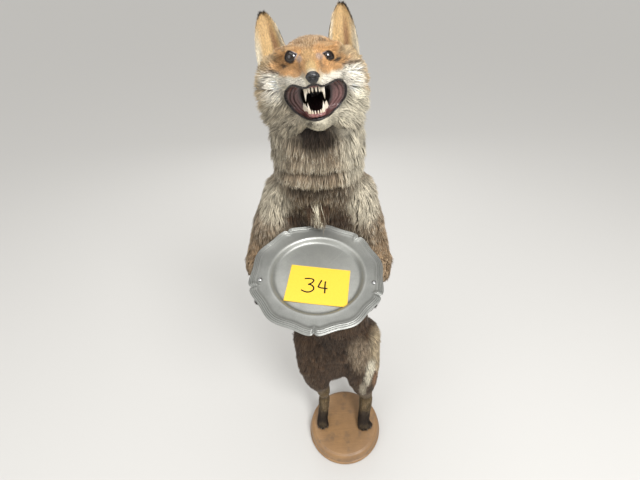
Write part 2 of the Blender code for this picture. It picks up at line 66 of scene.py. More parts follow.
def smoothStep(low, high, value):
    share = np.clip((value - low) / (high - low), 0.0, 1.0)
    return share * share * (3.0 - 2.0 * share)


def unit(vectors):
    length = np.linalg.norm(vectors, axis=-1, keepdims=True)
    return vectors / np.maximum(length, 1e-9)


def fastMesh(name, points, triangles):
    mesh = bpy.data.meshes.new(name)
    mesh.vertices.add(len(points))
    mesh.vertices.foreach_set("co", np.asarray(points, np.float32).ravel())
    mesh.loops.add(triangles.size)
    mesh.loops.foreach_set("vertex_index", triangles.astype(np.int32).ravel())
    mesh.polygons.add(len(triangles))
    mesh.polygons.foreach_set("loop_start", np.arange(0, triangles.size, 3, dtype=np.int32))
    mesh.update(calc_edges=True)
    return mesh


def mixTones(first, second, share):
    return np.asarray(first) * (1 - share) + np.asarray(second) * share


def arraysOf(mesh):
    mesh.calc_loop_triangles()
    points = np.empty(len(mesh.vertices) * 3)
    mesh.vertices.foreach_get("co", points)
    triangles = np.empty(len(mesh.loop_triangles) * 3, np.int32)
    mesh.loop_triangles.foreach_get("vertices", triangles)
    return points.reshape(-1, 3), triangles.reshape(-1, 3)


def vertexNormals(points, triangles):
    corners = points[triangles]
    across = np.cross(corners[:, 1] - corners[:, 0], corners[:, 2] - corners[:, 0])
    normals = np.zeros_like(points)
    for corner in range(3):
        for axis in range(3):
            normals[:, axis] += np.bincount(triangles[:, corner], across[:, axis], len(points))
    return unit(normals)


# Average a field with each point's neighbours, over and over.
def spread(field, triangles, rounds):
    first = np.concatenate([triangles[:, 0], triangles[:, 1], triangles[:, 2]])
    second = np.concatenate([triangles[:, 1], triangles[:, 2], triangles[:, 0]])
    field = np.array(field, float)
    flat = field.reshape(len(field), -1)
    count = np.bincount(first, minlength=len(field)) + np.bincount(second, minlength=len(field))
    for _ in range(rounds):
        total = np.empty_like(flat)
        for column in range(flat.shape[1]):
            total[:, column] = (np.bincount(first, flat[second, column], len(flat))
                                + np.bincount(second, flat[first, column], len(flat)))
        flat = 0.5 * flat + 0.5 * total / np.maximum(count, 1)[:, None]
    return flat.reshape(field.shape)


def placed(name, data):
    item = bpy.data.objects.new(name, data)
    bpy.context.scene.collection.objects.link(item)
    return item


# The mesh after a row of modifiers, each given as its kind and settings.
def reshaped(mesh, *steps):
    helper = placed("helper", mesh)
    for kind, settings in steps:
        modifier = helper.modifiers.new(kind, kind)
        for name, value in settings.items():
            setattr(modifier, name, value)
    depsgraph = bpy.context.evaluated_depsgraph_get()
    result = bpy.data.meshes.new_from_object(helper.evaluated_get(depsgraph))
    bpy.data.objects.remove(helper)
    return result


# The mesh of a finished bmesh.
def meshOf(shape, name):
    mesh = bpy.data.meshes.new(name)
    shape.to_mesh(mesh)
    shape.free()
    return mesh


def joined(meshes, name):
    shape = bmesh.new()
    for mesh in meshes:
        shape.from_mesh(mesh)
    return meshOf(shape, name)


# Keep a colour, or a row of three masks, at each point of a mesh.
def paintMesh(mesh, name, colours):
    layer = mesh.color_attributes.new(name, "FLOAT_COLOR", "POINT")
    layer.data.foreach_set("color", np.column_stack([colours, np.ones(len(colours))]).ravel())


def addPiece(name, mesh, *materials, slot, replaced=(), smooth=True):
    piece = placed(name, mesh)
    for material in materials:
        mesh.materials.append(material)
    if smooth:
        mesh.polygons.foreach_set("use_smooth", [True] * len(mesh.polygons))
    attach(piece, "root")
    if replaced:
        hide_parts(*replaced)
    return piece


# A smooth closed line through the given points, evenly parted between neighbours.
def closedCurve(points, count):
    points = np.asarray(points, float)
    line = []
    for step in range(count):
        place = step * len(points) / count
        index = int(place)
        t = place - index
        before, start, end, after = (points[(index + shift) % len(points)] for shift in (-1, 0, 1, 2))
        square = 2 * before - 5 * start + 4 * end - after
        cube = 3 * start - before - 3 * end + after
        line.append(0.5 * (2 * start + (end - before) * t + square * t ** 2 + cube * t ** 3))
    return np.array(line)


# Bridge rings of points into a surface in a bmesh, with its ends closed.
def skinned(shape, rings, closed=True, capped=True, material=0):
    loops = [[shape.verts.new(point) for point in ring] for ring in rings]
    for lower, upper in zip(loops, loops[1:]):
        count = len(lower)
        for index in range(count if closed else count - 1):
            after = (index + 1) % count
            face = shape.faces.new((lower[index], lower[after], upper[after], upper[index]))
            face.material_index = material
    if capped:
        for loop, turn in ((loops[0], -1), (loops[-1], 1)):
            shape.faces.new(loop[::turn]).material_index = material
    return loops


# A round or flattened tube along a line of points, in the line's own units.
def tube(shape, line, radii, sides=10, flatten=1.0, closed=False, material=0):
    line = np.asarray(line, float)
    radii = np.broadcast_to(radii, len(line))
    after = np.roll(line, -1, 0)
    before = np.roll(line, 1, 0)
    if not closed:
        after[-1], before[0] = line[-1], line[0]
    along = unit(after - before)
    side = unit(np.cross(along[0], (0.31, 0.17, 0.93)))
    rings = []
    for point, forward, radius in zip(line, along, radii):
        side = unit(side - forward * np.dot(side, forward))
        other = np.cross(forward, side)
        turns = np.arange(sides) * 2 * np.pi / sides
        ring = np.cos(turns)[:, None] * side + flatten * np.sin(turns)[:, None] * other
        rings.append(point + radius * ring)
    if closed:
        rings.append(rings[0])
    skinned(shape, rings, capped=not closed, material=material)


def meshFrom(shape, name, scale=1.0):
    bmesh.ops.remove_doubles(shape, verts=shape.verts, dist=1e-5 / scale)
    bmesh.ops.recalc_face_normals(shape, faces=shape.faces)
    bmesh.ops.scale(shape, vec=(scale,) * 3, verts=shape.verts)
    return meshOf(shape, name)


# A shader node with its settings, and its inputs as constants or as links from other sockets.
def addNode(tree, kind, settings=None, inputs=None):
    node = tree.nodes.new("ShaderNode" + kind)
    for name, value in (settings or {}).items():
        setattr(node, name, value)
    for name, value in (inputs or {}).items():
        if isinstance(value, bpy.types.NodeSocket):
            tree.links.new(value, node.inputs[name])
        else:
            node.inputs[name].default_value = value
    return node


# An empty node group with named sockets, and its input and output nodes.
def addGroup(name, inputs, outputs):
    group = bpy.data.node_groups.new(name, "ShaderNodeTree")
    for label, kind, value in inputs:
        group.interface.new_socket(label, in_out="INPUT", socket_type=kind).default_value = value
    for label, kind in outputs:
        group.interface.new_socket(label, in_out="OUTPUT", socket_type=kind)
    return group, group.nodes.new("NodeGroupInput"), group.nodes.new("NodeGroupOutput")


def useGroup(tree, group, **inputs):
    return addNode(tree, "Group", {"node_tree": group}, inputs)


def addMaterial(name, **inputs):
    material = bpy.data.materials.new(name)
    material.use_nodes = True
    shader = material.node_tree.nodes["Principled BSDF"]
    for label, value in inputs.items():
        shader.inputs[label.replace("_", " ")].default_value = value
    return material, material.node_tree, shader


# A colour between two, each a constant or another node's colour.
def mixColours(tree, share, first, second):
    first, second = (value if isinstance(value, bpy.types.NodeSocket) else (*value, 1.0)
                     for value in (first, second))
    return addNode(tree, "Mix", {"data_type": "RGBA"}, {0: share, 6: first, 7: second}).outputs[2]


# A value taken from one range to another.
def ranged(tree, value, low, high, fromLow=0.0, fromHigh=1.0):
    return addNode(tree, "MapRange", None, {"Value": value, "From Min": fromLow, "From Max": fromHigh,
                                            "To Min": low, "To Max": high}).outputs["Result"]


def scaled(tree, colour, amount):
    return addNode(tree, "VectorMath", {"operation": "SCALE"}, {0: colour, "Scale": amount}).outputs[0]


def times(tree, first, second):
    return addNode(tree, "Math", {"operation": "MULTIPLY"}, {0: first, 1: second}).outputs[0]


def markingOf(tree, name="marking"):
    return addNode(tree, "Attribute", {"attribute_name": name}).outputs["Color"]


# Join the worked-out colour, roughness and normal to a material's shader.
def feed(tree, shader, colour, roughness=None, normal=None):
    for socket, label in ((colour, "Base Color"), (roughness, "Roughness"), (normal, "Normal")):
        if socket is not None:
            tree.links.new(socket, shader.inputs[label])


# Uneven tone and fine bump, stretched along chosen axes of the part.
def makeGrain():
    group, given, result = addGroup(
        "Grain", [("Stretch", "NodeSocketVector", (1.0, 1.0, 1.0)), ("Scale", "NodeSocketFloat", 100.0),
                  ("Detail", "NodeSocketFloat", 4.0), ("Depth", "NodeSocketFloat", 0.0005),
                  ("Low", "NodeSocketFloat", 0.3), ("High", "NodeSocketFloat", 0.7)],
        [("Mask", "NodeSocketFloat"), ("Normal", "NodeSocketVector")])
    place = addNode(group, "TexCoord").outputs["Object"]
    stretched = addNode(group, "VectorMath", {"operation": "MULTIPLY"},
                        {0: place, 1: given.outputs["Stretch"]})
    noise = addNode(group, "TexNoise", None, {"Vector": stretched.outputs[0], "Scale": given.outputs["Scale"],
                                              "Detail": given.outputs["Detail"],
                                              "Roughness": 0.6}).outputs["Fac"]
    mask = ranged(group, noise, 0.0, 1.0, given.outputs["Low"], given.outputs["High"])
    bump = addNode(group, "Bump", None, {"Height": noise, "Distance": given.outputs["Depth"]})
    group.links.new(mask, result.inputs["Mask"])
    group.links.new(bump.outputs["Normal"], result.inputs["Normal"])
    return group


# How a hair's tone runs from its root to its tip, and how much hairs differ.
furToneSettings = {"rootEnd": 0.6, "vary": (0.62, 1.32), "tipStart": 0.45, "tipFull": 0.9,
                   "paleFrom": (0.45, 0.85), "roughness": (0.5, 0.75)}


# The tone of a hair: its marking, dark at the root, with some pale-tipped guard hairs.
def makeFurTone():
    group, given, result = addGroup(
        "FurTone", [("Marking", "NodeSocketColor", (0.5, 0.4, 0.3, 1.0)), ("Along", "NodeSocketFloat", 0.5),
                    ("Chance", "NodeSocketFloat", 0.5), ("Grizzle", "NodeSocketFloat", 0.5),
                    ("Root", "NodeSocketFloat", 0.28), ("Tip", "NodeSocketColor", (0.76, 0.69, 0.55, 1.0))],
        [("Colour", "NodeSocketColor"), ("Roughness", "NodeSocketFloat")])
    s = furToneSettings
    along, chance = given.outputs["Along"], given.outputs["Chance"]
    rise = ranged(group, along, given.outputs["Root"], 1.0, fromHigh=s["rootEnd"])
    toned = scaled(group, given.outputs["Marking"], times(group, rise, ranged(group, chance, *s["vary"])))
    tips = addNode(group, "MapRange", {"interpolation_type": "SMOOTHSTEP"},
                   {"Value": along, "From Min": s["tipStart"], "From Max": s["tipFull"]}).outputs["Result"]
    pale = times(group, tips, ranged(group, chance, 0.0, 1.0, *s["paleFrom"]))
    share = times(group, pale, given.outputs["Grizzle"])
    group.links.new(mixColours(group, share, toned, given.outputs["Tip"]), result.inputs["Colour"])
    group.links.new(ranged(group, chance, *s["roughness"]), result.inputs["Roughness"])
    return group


grain = makeGrain()
furTone = makeFurTone()


def makeCoatMaterial():
    material, tree, shader = addMaterial("coat", Specular_IOR_Level=0.28, Sheen_Weight=0.04,
                                         Sheen_Roughness=0.5)
    parts = addNode(tree, "SeparateColor", None, {"Color": markingOf(tree, "strand")})
    tone = useGroup(tree, furTone, Marking=markingOf(tree), Along=parts.outputs["Red"],
                    Chance=parts.outputs["Green"], Grizzle=parts.outputs["Blue"])
    feed(tree, shader, tone.outputs["Colour"], tone.outputs["Roughness"])
    return material


def makeSkinMaterial():
    material, tree, shader = addMaterial("skin", Roughness=0.72, Specular_IOR_Level=0.25)
    nap = useGroup(tree, grain, Stretch=(1.0, 1.0, 0.35), Scale=900.0, Depth=0.0008)
    tone = useGroup(tree, furTone, Marking=markingOf(tree), Along=0.45, Chance=nap.outputs["Mask"],
                    Grizzle=0.0, Root=0.7)
    feed(tree, shader, tone.outputs["Colour"], normal=nap.outputs["Normal"])
    return material


# A material whose tone and roughness wander between two values, with a matching bump.
def makeSimple(name, dark, light, scale, depth, roughness=(0.3, 0.5), stretch=(1, 1, 1), **more):
    material, tree, shader = addMaterial(name, **more)
    surface = useGroup(tree, grain, Stretch=stretch, Scale=scale, Depth=depth)
    mask = surface.outputs["Mask"]
    feed(tree, shader, mixColours(tree, mask, dark, light), ranged(tree, mask, *roughness),
         surface.outputs["Normal"])
    return material


coatMaterial = makeCoatMaterial()
skinMaterial = makeSkinMaterial()
print("materials ready")


# Voxels in mm and rounds of smoothing, and how far each part swells first so that neighbours join.
formSettings = {"bodyVoxel": 3.0, "bodySmoothing": 12, "headVoxel": 1.6, "headSmoothing": 5,
                "swell": {"foot": 3.2, "rest": 0.9}}

# Balls whose neighbours are joined by hulls: centre and radii, in the head's frame, in millimetres.
headBalls = {
    "middle": (((0, 24, -6, 58, 42, 44), (3, 3, 4, 50, 36, 43)),
               ((2, 2, 8, 46, 30, 36), (0, -20, 17, 30, 18, 19)),
               ((0, -22, 14, 23, 16, 18), (0, -46, 11, 14.5, 13, 12.5), (0, -66, 9, 10.5, 10, 9.5)),
               ((4, -20, -54, 26, 18, 14), (2, -42, -51, 15, 14, 12))),
    "sided": (((8, -63, 4, 7, 9, 8), (15, -48, 2, 10, 13, 9), (30, -24, 2, 16, 18, 15)),
              ((8, -13, 32, 9, 12, 7), (22, -13, 34, 12, 13, 7), (35, -3, 29, 12, 13, 9)),
              ((48, 8, 6, 23, 24, 24), (44, 6, -12, 35, 30, 32)),
              ((44, 6, -12, 35, 30, 32), (42, 12, -44, 36, 34, 30)),
              ((24, -6, -52, 32, 26, 20), (34, 10, -64, 36, 38, 28))),
}


def addLimb(shape, balls, frameMatrix):
    rings = []
    for x, y, z, *radii in balls:
        ball = bmesh.ops.create_icosphere(shape, subdivisions=3, radius=1.0)["verts"]
        for vert in ball:
            spot = [middle + reach * part for middle, reach, part in zip((x, y, z), radii, vert.co)]
            vert.co = frameMatrix @ Vector(spot)
        rings.append([vert.co.copy() for vert in ball])
    for first, second in zip(rings, rings[1:]):
        hull = [shape.verts.new(point) for point in (*first, *second)]
        bmesh.ops.convex_hull(shape, input=hull)


def makeHeadForm():
    shape = bmesh.new()
    for balls in headBalls["middle"]:
        addLimb(shape, balls, headFrame)
    for balls in headBalls["sided"]:
        addLimb(shape, balls, headFrame)
        addLimb(shape, [(-x, *rest) for x, *rest in balls], headFrame)
    bmesh.ops.scale(shape, vec=(mm,) * 3, verts=shape.verts)
    rough = meshOf(shape, "headForm")
    return reshaped(rough, ("REMESH", {"mode": "VOXEL", "voxel_size": formSettings["headVoxel"] * mm}),
                    ("SMOOTH", {"factor": 0.5, "iterations": formSettings["headSmoothing"]}))


fleshNodes = ["head", "lower_jaw", "neck", "chest", "belly", "hips", "tail", "tail_tip"]
armParts, legParts = ("upper_arm", "forearm", "forepaw"), ("thigh", "shank", "hind_foot")
for side in signs:
    fleshNodes += [part + "_" + side for part in armParts + legParts]

# Toes across a paw and how far forward each reaches, as shares of half its width, and their size and spread.
toeSettings = {"across": (-0.72, -0.25, 0.25, 0.72), "reach": (0.62, 0.92, 0.92, 0.62), "lift": 0.4,
               "length": 1.5, "radius": {"paw": 0.28, "foot": 0.38}, "wide": {"paw": 0.75, "foot": 1.1}}


# The middle and radius of each toe of a paw, from the paw's box.
def toePlaces(node):
    low, high = (np.array(corner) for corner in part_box(node))
    half = (high[0] - low[0]) / 2
    middle = (low + high) / 2
    kind = "foot" if "foot" in node else "paw"
    s = toeSettings
    radius = s["radius"][kind] * half
    places = []
    for across, reach in zip(s["across"], s["reach"]):
        x = middle[0] + across * half * s["wide"][kind]
        y = low[1] + radius + half * 0.9 * (max(s["reach"]) - reach)
        places.append((np.array((x, y, low[2] + radius + s["lift"] * mm)), radius))
    return places


# The CAD's flesh joined across its partings, with rounder toes.
def makeBodyForm():
    meshes = []
    for node in fleshNodes:
        mesh = nodes[node].data.copy()
        points, triangles = arraysOf(mesh)
        swell = formSettings["swell"]["foot" if "foot" in node else "rest"]
        points += vertexNormals(points, triangles) * swell * mm
        mesh.vertices.foreach_set("co", points.ravel())
        meshes.append(mesh)
    toes = bmesh.new()
    for node in fleshNodes:
        if "paw" in node or "foot" in node:
            for place, radius in toePlaces(node):
                ball = bmesh.ops.create_icosphere(toes, subdivisions=2, radius=radius)["verts"]
                for vert in ball:
                    stretched = Vector((vert.co.x, vert.co.y * toeSettings["length"], vert.co.z))
                    vert.co = stretched + Vector(place)
    rough = joined([*meshes, meshOf(toes, "toes")], "bodyForm")
    return reshaped(rough, ("REMESH", {"mode": "VOXEL", "voxel_size": formSettings["bodyVoxel"] * mm}),
                    ("SMOOTH", {"factor": 0.5, "iterations": formSettings["bodySmoothing"]}))


headPoints, headTriangles = arraysOf(makeHeadForm())
bodyPoints, bodyTriangles = arraysOf(makeBodyForm())
print("forms", len(headTriangles), len(bodyTriangles))


# Length, width and height above the skin in mm, tufts per square cm, and how grizzled, for each node.
coatTable = {
    "head": (16, 1.0, 6.0, 40, 0.4), "lower_jaw": (18, 1.0, 6.5, 38, 0.5), "neck": (23, 1.2, 8.0, 30, 0.9),
    "chest": (23, 1.25, 8.0, 25, 0.75), "belly": (21, 1.25, 7.0, 21.5, 0.3), "hips": (18, 1.1, 6.5, 26, 0.3),
    "tail": (32, 1.8, 12.0, 16, 0.5), "tail_tip": (24, 1.5, 7.0, 30, 0.2),
    "upper_arm": (18, 1.2, 6.5, 26, 0.6), "forearm": (15, 1.2, 4.5, 27, 0.5),
    "forepaw": (7, 0.8, 1.8, 80, 0.1), "thigh": (17, 1.05, 6.0, 28, 0.4), "shank": (15, 1.1, 4.5, 40, 0.3),
    "hind_foot": (7.5, 0.8, 2.6, 90, 0.2),
}
shinCoat = (11.0, 0.9, 3.2, 60.0, 0.3)
coatFlow = {"forearm": (0, -1, 0.1), "forepaw": (0, -1, -0.1), "hind_foot": (0, -1, -0.45),
            "tail": (0, 0.25, -1), "lower_jaw": (0, 0.3, -1)}

tones = {
    "orange": (0.51, 0.275, 0.11), "ochre": (0.46, 0.33, 0.18), "paleOrange": (0.60, 0.40, 0.19),
    "crown": (0.36, 0.22, 0.11), "tan": (0.45, 0.33, 0.19), "darkTan": (0.17, 0.11, 0.065),
    "cream": (0.68, 0.62, 0.48), "white": (0.86, 0.80, 0.68), "greyCream": (0.33, 0.285, 0.21),
    "grizzle": (0.26, 0.195, 0.13), "greyBrown": (0.10, 0.064, 0.037), "brown": (0.07, 0.040, 0.022),
    "dark": (0.03, 0.019, 0.012), "black": (0.012, 0.009, 0.008), "reddish": (0.25, 0.125, 0.06),
    "back": (0.24, 0.125, 0.055), "olive": (0.155, 0.105, 0.05), "golden": (0.62, 0.42, 0.19),
    "straw": (0.42, 0.33, 0.21), "lavender": (0.30, 0.27, 0.29), "russet": (0.34, 0.225, 0.125),
}
nodeTone = {"head": "greyCream", "lower_jaw": "greyCream", "neck": "grizzle", "chest": "grizzle",
            "belly": "brown", "hips": "greyBrown", "tail": "reddish", "tail_tip": "white",
            "upper_arm": "grizzle", "forearm": "russet", "forepaw": "dark", "thigh": "brown",
            "shank": "olive", "hind_foot": "dark"}

# Soft-edged marks: middle and reach in millimetres, tone and strength. Head marks are in its own frame,
# and those of headPairs are on both sides.
headPairs = [
    ((54, 2, 24), (22, 30, 20), "tan", 0.95), ((68, -2, 4), (17, 32, 30), "ochre", 0.9),
    ((50, -16, -6), (30, 28, 20), "white", 1.0), ((60, -8, -34), (26, 30, 24), "cream", 0.8),
    ((76, -4, -2), (17, 34, 34), "tan", 0.9), ((38, -30, 3), (20, 16, 9), "white", 0.95),
    ((27, -32, 14), (17, 17, 7.5), "orange", 1.0), ((18, -46, 13), (8, 16, 6), "orange", 0.9),
    ((40, -16, 18), (10, 12, 7), "orange", 0.8), ((28, -22, 40), (20, 16, 5), "tan", 0.4),
    ((15, -60, 3), (11, 18, 7.5), "white", 1.0), ((27, -44, 3.5), (14, 15, 5.5), "white", 0.95),
    ((12, -36, 27), (5, 8, 5), "lavender", 0.6), ((36, -24, 19.5), (11, 8, 1.9), "dark", 0.7),
    ((46, -14, 12), (12, 8, 1.8), "darkTan", 0.6), ((14, -26, 36), (9, 14, 9), "orange", 0.55),
    ((34, -18, -52), (22, 24, 14), "cream", 0.8),
]
headMarks = [
    # The straw and greyCream marks on the fox's right side alone are partly its tan and grey fur and partly
    # painted shade on the side away from the key light.
    ((-70, 2, -12), (18, 40, 34), "straw", 0.75), ((-46, 0, -50), (44, 60, 34), "greyCream", 1.0),
    ((0, -10, 44), (24, 22, 12), "crown", 0.8), ((0, -34, 28), (9, 18, 11), "golden", 0.45),
    ((0, -20, 44), (16, 10, 10), "ochre", 0.3), ((0, -58, 19), (8.5, 22, 8), "golden", 1.0),
    ((0, -69, 15), (7, 9, 6), "cream", 0.8), ((0, -72, 3), (9, 8, 5), "white", 0.9),
    ((0, -42, -56), (24, 24, 9), "cream", 0.6), ((-4, -46, -50), (17, 14, 4.5), "dark", 0.8),
    ((0, 56, -26), (64, 30, 44), "grizzle", 0.9), ((0, 56, 10), (60, 30, 52), "back", 0.9),
    ((0, 30, 44), (40, 26, 26), "crown", 0.9),
]
# Narrow lines and spots on the face, on both sides.
headLines = [
    ((13.5, -40, 21), (2.0, 14, 9), "darkTan", 0.55), ((36, -22, 18), (9, 9, 2.2), "dark", 0.8),
    ((49, -12, 11.5), (11, 9, 2.2), "darkTan", 0.75), ((30, -20, 37), (14, 9, 1.8), "darkTan", 0.25),
]
headLines += [((10 + 2.6 * number, -67 + 5.0 * number, 5.5 - 2.6 * row), (1.1, 2.0, 0.9), "dark", 0.75)
              for row in range(3) for number in range(5)]
bodyMarks = [
    ((-50, 165, 640), (130, 120, 520), "back", 0.8), ((-7, 190, 48), (60, 60, 48), "white", 1.0),
    # The dark mark at 884 mm, just under the chin, is painted shadow. The greyCream on the neck's right side
    # is partly grey fur and partly painted shade on the side away from the key light.
    ((-48, -38, 884), (38, 40, 25), "dark", 1.0), ((-116, 4, 866), (36, 60, 66), "greyCream", 0.95),
    # From 842 to 787 mm the greyCream and dark bands across the throat are painted light on the neck's folds
    # and painted shade in the creases between them.
    ((18, 6, 856), (42, 66, 74), "cream", 0.8), ((-50, -28, 842), (44, 40, 9), "greyCream", 0.5),
    ((-48, -28, 825), (52, 40, 4), "dark", 0.5), ((-50, -24, 810), (62, 40, 8), "greyCream", 0.45),
    ((-50, -14, 787), (70, 40, 11), "dark", 0.7), ((-50, 4, 762), (60, 40, 28), "greyBrown", 0.85),
    ((-128, 20, 750), (36, 60, 44), "cream", 0.65), ((30, 20, 752), (36, 60, 44), "cream", 0.7),
    ((-84, 0, 722), (34, 50, 30), "brown", 1.0), ((-20, -2, 724), (32, 50, 30), "brown", 1.0),
    ((-51, -18, 758), (13, 34, 24), "cream", 1.0), ((-185, 20, 650), (36, 60, 70), "russet", 0.45),
    ((85, 20, 650), (46, 60, 80), "russet", 0.8), ((-40, 0, 560), (90, 50, 80), "dark", 0.6),
    ((-40, 0, 372), (54, 50, 40), "dark", 0.5), ((34, -4, 352), (34, 40, 56), "grizzle", 0.9),
    ((82, 20, 350), (30, 60, 90), "straw", 1.0), ((61, -6, 306), (14, 26, 28), "cream", 1.0),
    ((53, -17, 278), (13, 24, 26), "cream", 0.9), ((43, -22, 240), (12, 26, 34), "greyCream", 1.0),
    ((74, -8, 262), (9, 26, 34), "reddish", 0.85), ((68, 10, 205), (10, 26, 34), "reddish", 0.7),
    ((14, -8, 292), (22, 26, 26), "dark", 0.4), ((-60, -10, 200), (40, 40, 20), "olive", 0.6),
    ((60, 50, 125), (20, 24, 24), "russet", 0.5), ((-64, 2, 70), (20, 30, 14), "dark", 0.7),
    # The faint olive marks at the front of the toes, at 50 mm, are painted highlights.
    ((55, -2, 70), (22, 30, 14), "dark", 0.9), ((-65, -16, 50), (16, 9, 9), "olive", 0.35),
    ((54, -20, 50), (17, 9, 9), "olive", 0.35), ((-7, 205, 118), (60, 60, 18), "dark", 0.7),
    ((-7, 225, 200), (40, 24, 90), "dark", 0.4),
]


def paint(colour, points, marks):
    for middle, reach, tone, strength in marks:
        distance = np.linalg.norm((points - middle) / reach, axis=1)
        share = (strength * (1.0 - smoothStep(0.55, 1.15, distance)))[:, None]
        colour[:] = mixTones(colour, tones[tone], share)


# A slow wave that keeps the edges of markings from running straight.
def wander(points, size, seed):
    turns = np.random.default_rng(seed).normal(size=(6, 3)) / size
    shifts = np.random.default_rng(seed + 1).uniform(0, 6.3, 6)
    return np.sin(points @ turns.T + shifts).mean(1)


def ragged(points):
    shift = np.stack([wander(points, 9.0, seed) for seed in (5, 6, 7)], 1) * 5.0
    return points + shift


def partOf(node):
    return node.replace("_right", "").replace("_left", "")


# Whether each point grows from one of the named nodes. A name without a side takes both.
def belongs(owners, *names):
    return np.isin(owners, [index for index, node in enumerate(fleshNodes)
                            if {node, partOf(node)} & set(names)])


# Where a change of the body's coat or skin comes in, from none of it to all, in mm.
bodyRanges = {
    "darkTrunk": (660.0, 470.0), "shinFoot": (64.0, 82.0), "shinTop": (150.0, 130.0),
    "kneeCoat": (310.0, 200.0), "neckFoot": (766.0, 836.0), "neckTop": (900.0, 868.0),
    "tailEnd": (100.0, 50.0), "kneeTop": (240.0, 200.0), "kneeFoot": (150.0, 172.0),
    "kneeFront": (34.0, 14.0), "throatFront": (60.0, 10.0), "tailMiddle": (112.0, 135.0),
}
# The same for the head, in its own frame.
headRanges = {
    "jawHeight": (10.0, -40.0), "jawSide": (18.0, 40.0), "cheekSide": (28.0, 56.0),
    "cheekHeight": (34.0, 8.0), "neckward": (14.0, 34.0), "crown": (20.0, 44.0), "upperFace": (8.0, 18.0),
}

# Rounds of averaging over the skin: the coat's size, its tone and lie, the trunk's edge and the knees.
softening = {"coat": 8, "tone": 45, "trunk": 12, "knee": 6}
# What a knee takes from the hair's length, width and height, and adds to its density.
kneeCoat = (-0.6, -0.25, -0.5, 1.2)


# For each point of the body's form, how its coat grows there.
def makeBodyFields():
    faces, owners, verts = [], [], []
    for index, node in enumerate(fleshNodes):
        points, triangles = arraysOf(nodes[node].data)
        faces += (triangles + len(verts)).tolist()
        owners += [index] * len(triangles)
        verts += points.tolist()
    tree = BVHTree.FromPolygons(verts, faces)
    nearest = np.array([owners[tree.find_nearest(point)[2]] for point in bodyPoints.tolist()])
    rows = np.array([coatTable[partOf(node)] for node in fleshNodes], float)
    flows = np.array([coatFlow.get(partOf(node), (0, 0, -1)) for node in fleshNodes], float)
    colours = np.array([tones[nodeTone[partOf(node)]] for node in fleshNodes])
    values = spread(rows[nearest], bodyTriangles, softening["coat"])
    flow = spread(flows[nearest], bodyTriangles, softening["tone"])
    colour = spread(colours[nearest], bodyTriangles, softening["tone"])
    height = bodyPoints[:, 2] / mm
    trunk = spread(belongs(nearest, "chest", "belly", "hips") * 1.0, bodyTriangles, softening["trunk"])
    low = smoothStep(*bodyRanges["darkTrunk"], height)[:, None]
    colour = mixTones(colour, mixTones(tones["grizzle"], tones["brown"], low), trunk[:, None])
    shin = smoothStep(*bodyRanges["shinFoot"], height) * smoothStep(*bodyRanges["shinTop"], height)
    shin = shin[:, None]
    values = mixTones(values, shinCoat, shin)
    legs = belongs(nearest, "thigh", "shank") * smoothStep(*bodyRanges["kneeCoat"], height)
    knee = spread(legs, bodyTriangles, softening["knee"]) * (1 - shin[:, 0])
    for column, change in enumerate(kneeCoat):
        values[:, column] *= 1 + change * knee
    colour = mixTones(colour, tones["olive"], shin)
    paint(colour, ragged(bodyPoints / mm), bodyMarks)
    values[:, 4] *= np.clip(colour.mean(1) / 0.16, 0.12, 1.0)
    return nearest, values, flow, colour


# The head's coat at the nose, and what it gains towards the back, on the cheeks and under the jaw.
headCoat = {"length": (2.6, 4.6, 8.0, 8.0), "width": (0.50, 0.30, 0.25), "height": (1.0, 1.8, 2.8, 2.0),
            "density": (215.0, -95.0), "ruffDensity": 52.0, "backDensity": 0.7, "grizzled": (0.15, 0.5, 0.2)}


def grown(name, *shares):
    amount, *gains = headCoat[name]
    for gain, share in zip(gains, shares):
        amount = amount + gain * share
    return amount


def mirrored(marks, sign):
    return [((x * sign, y, z), *rest) for (x, y, z), *rest in marks]


def makeHeadFields():
    points = toHead(headPoints)
    away = np.linalg.norm(points - (0, -78, 6), axis=1)
    share = np.clip((away - 10.0) / 95.0, 0.0, 1.0)
    aside, back, height = np.abs(points[:, 0]), points[:, 1], points[:, 2]
    r = headRanges
    jaw = smoothStep(*r["jawHeight"], height) * smoothStep(*r["jawSide"], aside)
    cheek = smoothStep(*r["cheekSide"], aside) * smoothStep(*r["cheekHeight"], height)
    cheek = np.maximum(cheek, smoothStep(*r["neckward"], back))
    ruff = np.maximum(cheek, jaw)
    density = grown("density", share)
    density += (headCoat["ruffDensity"] - density) * smoothStep(0.15, 0.45, ruff)
    density *= np.where(back > 30.0, headCoat["backDensity"], 1.0)
    crown = smoothStep(*r["crown"], height)
    values = np.stack([grown("length", share, cheek, jaw), grown("width", share, ruff),
                       grown("height", share, cheek, jaw), density, grown("grizzled", crown, jaw)], 1)
    flow = points - (0, -84, 12)
    flow[:, 2] -= 22.0 * jaw
    flow[:, 0] += np.sign(points[:, 0]) * 14.0 * jaw
    flow = unit(flow) @ headTurn.T
    mark = ragged(points) * 0.5 + points * 0.5
    upper = smoothStep(*r["upperFace"], mark[:, 2])[:, None]
    colour = mixTones(tones["cream"], tones["orange"], upper)
    # The second mark, on the fox's right cheek alone, is partly grey fur and partly painted shade on the side
    # away from the key light.
    paint(colour, mark, [((0, 20, -74), (96, 80, 50), "greyCream", 0.95),
                         ((-58, 0, -34), (28, 50, 40), "greyCream", 0.8)])
    for sign in (1, -1):
        paint(colour, mark, mirrored(headPairs, sign))
    paint(colour, mark, headMarks)
    for sign in (1, -1):
        paint(colour, points, mirrored(headLines, sign))
    return values, flow, colour


bodyOwners, bodyValues, bodyFlow, bodyColour = makeBodyFields()
headValues, headFlow, headColour = makeHeadFields()
print("coat fields ready")


mouthSettings = {"steps": 144, "archWidth": 0.50, "archHeight": 0.90, "archBack": -19.0, "throatBack": 12.0,
                 "cheekShare": 0.6, "lipRadius": 1.4, "foldDepth": 1.3, "folds": 4.0}
mouthMiddle = np.array((2.0, 0.0, -21.0))

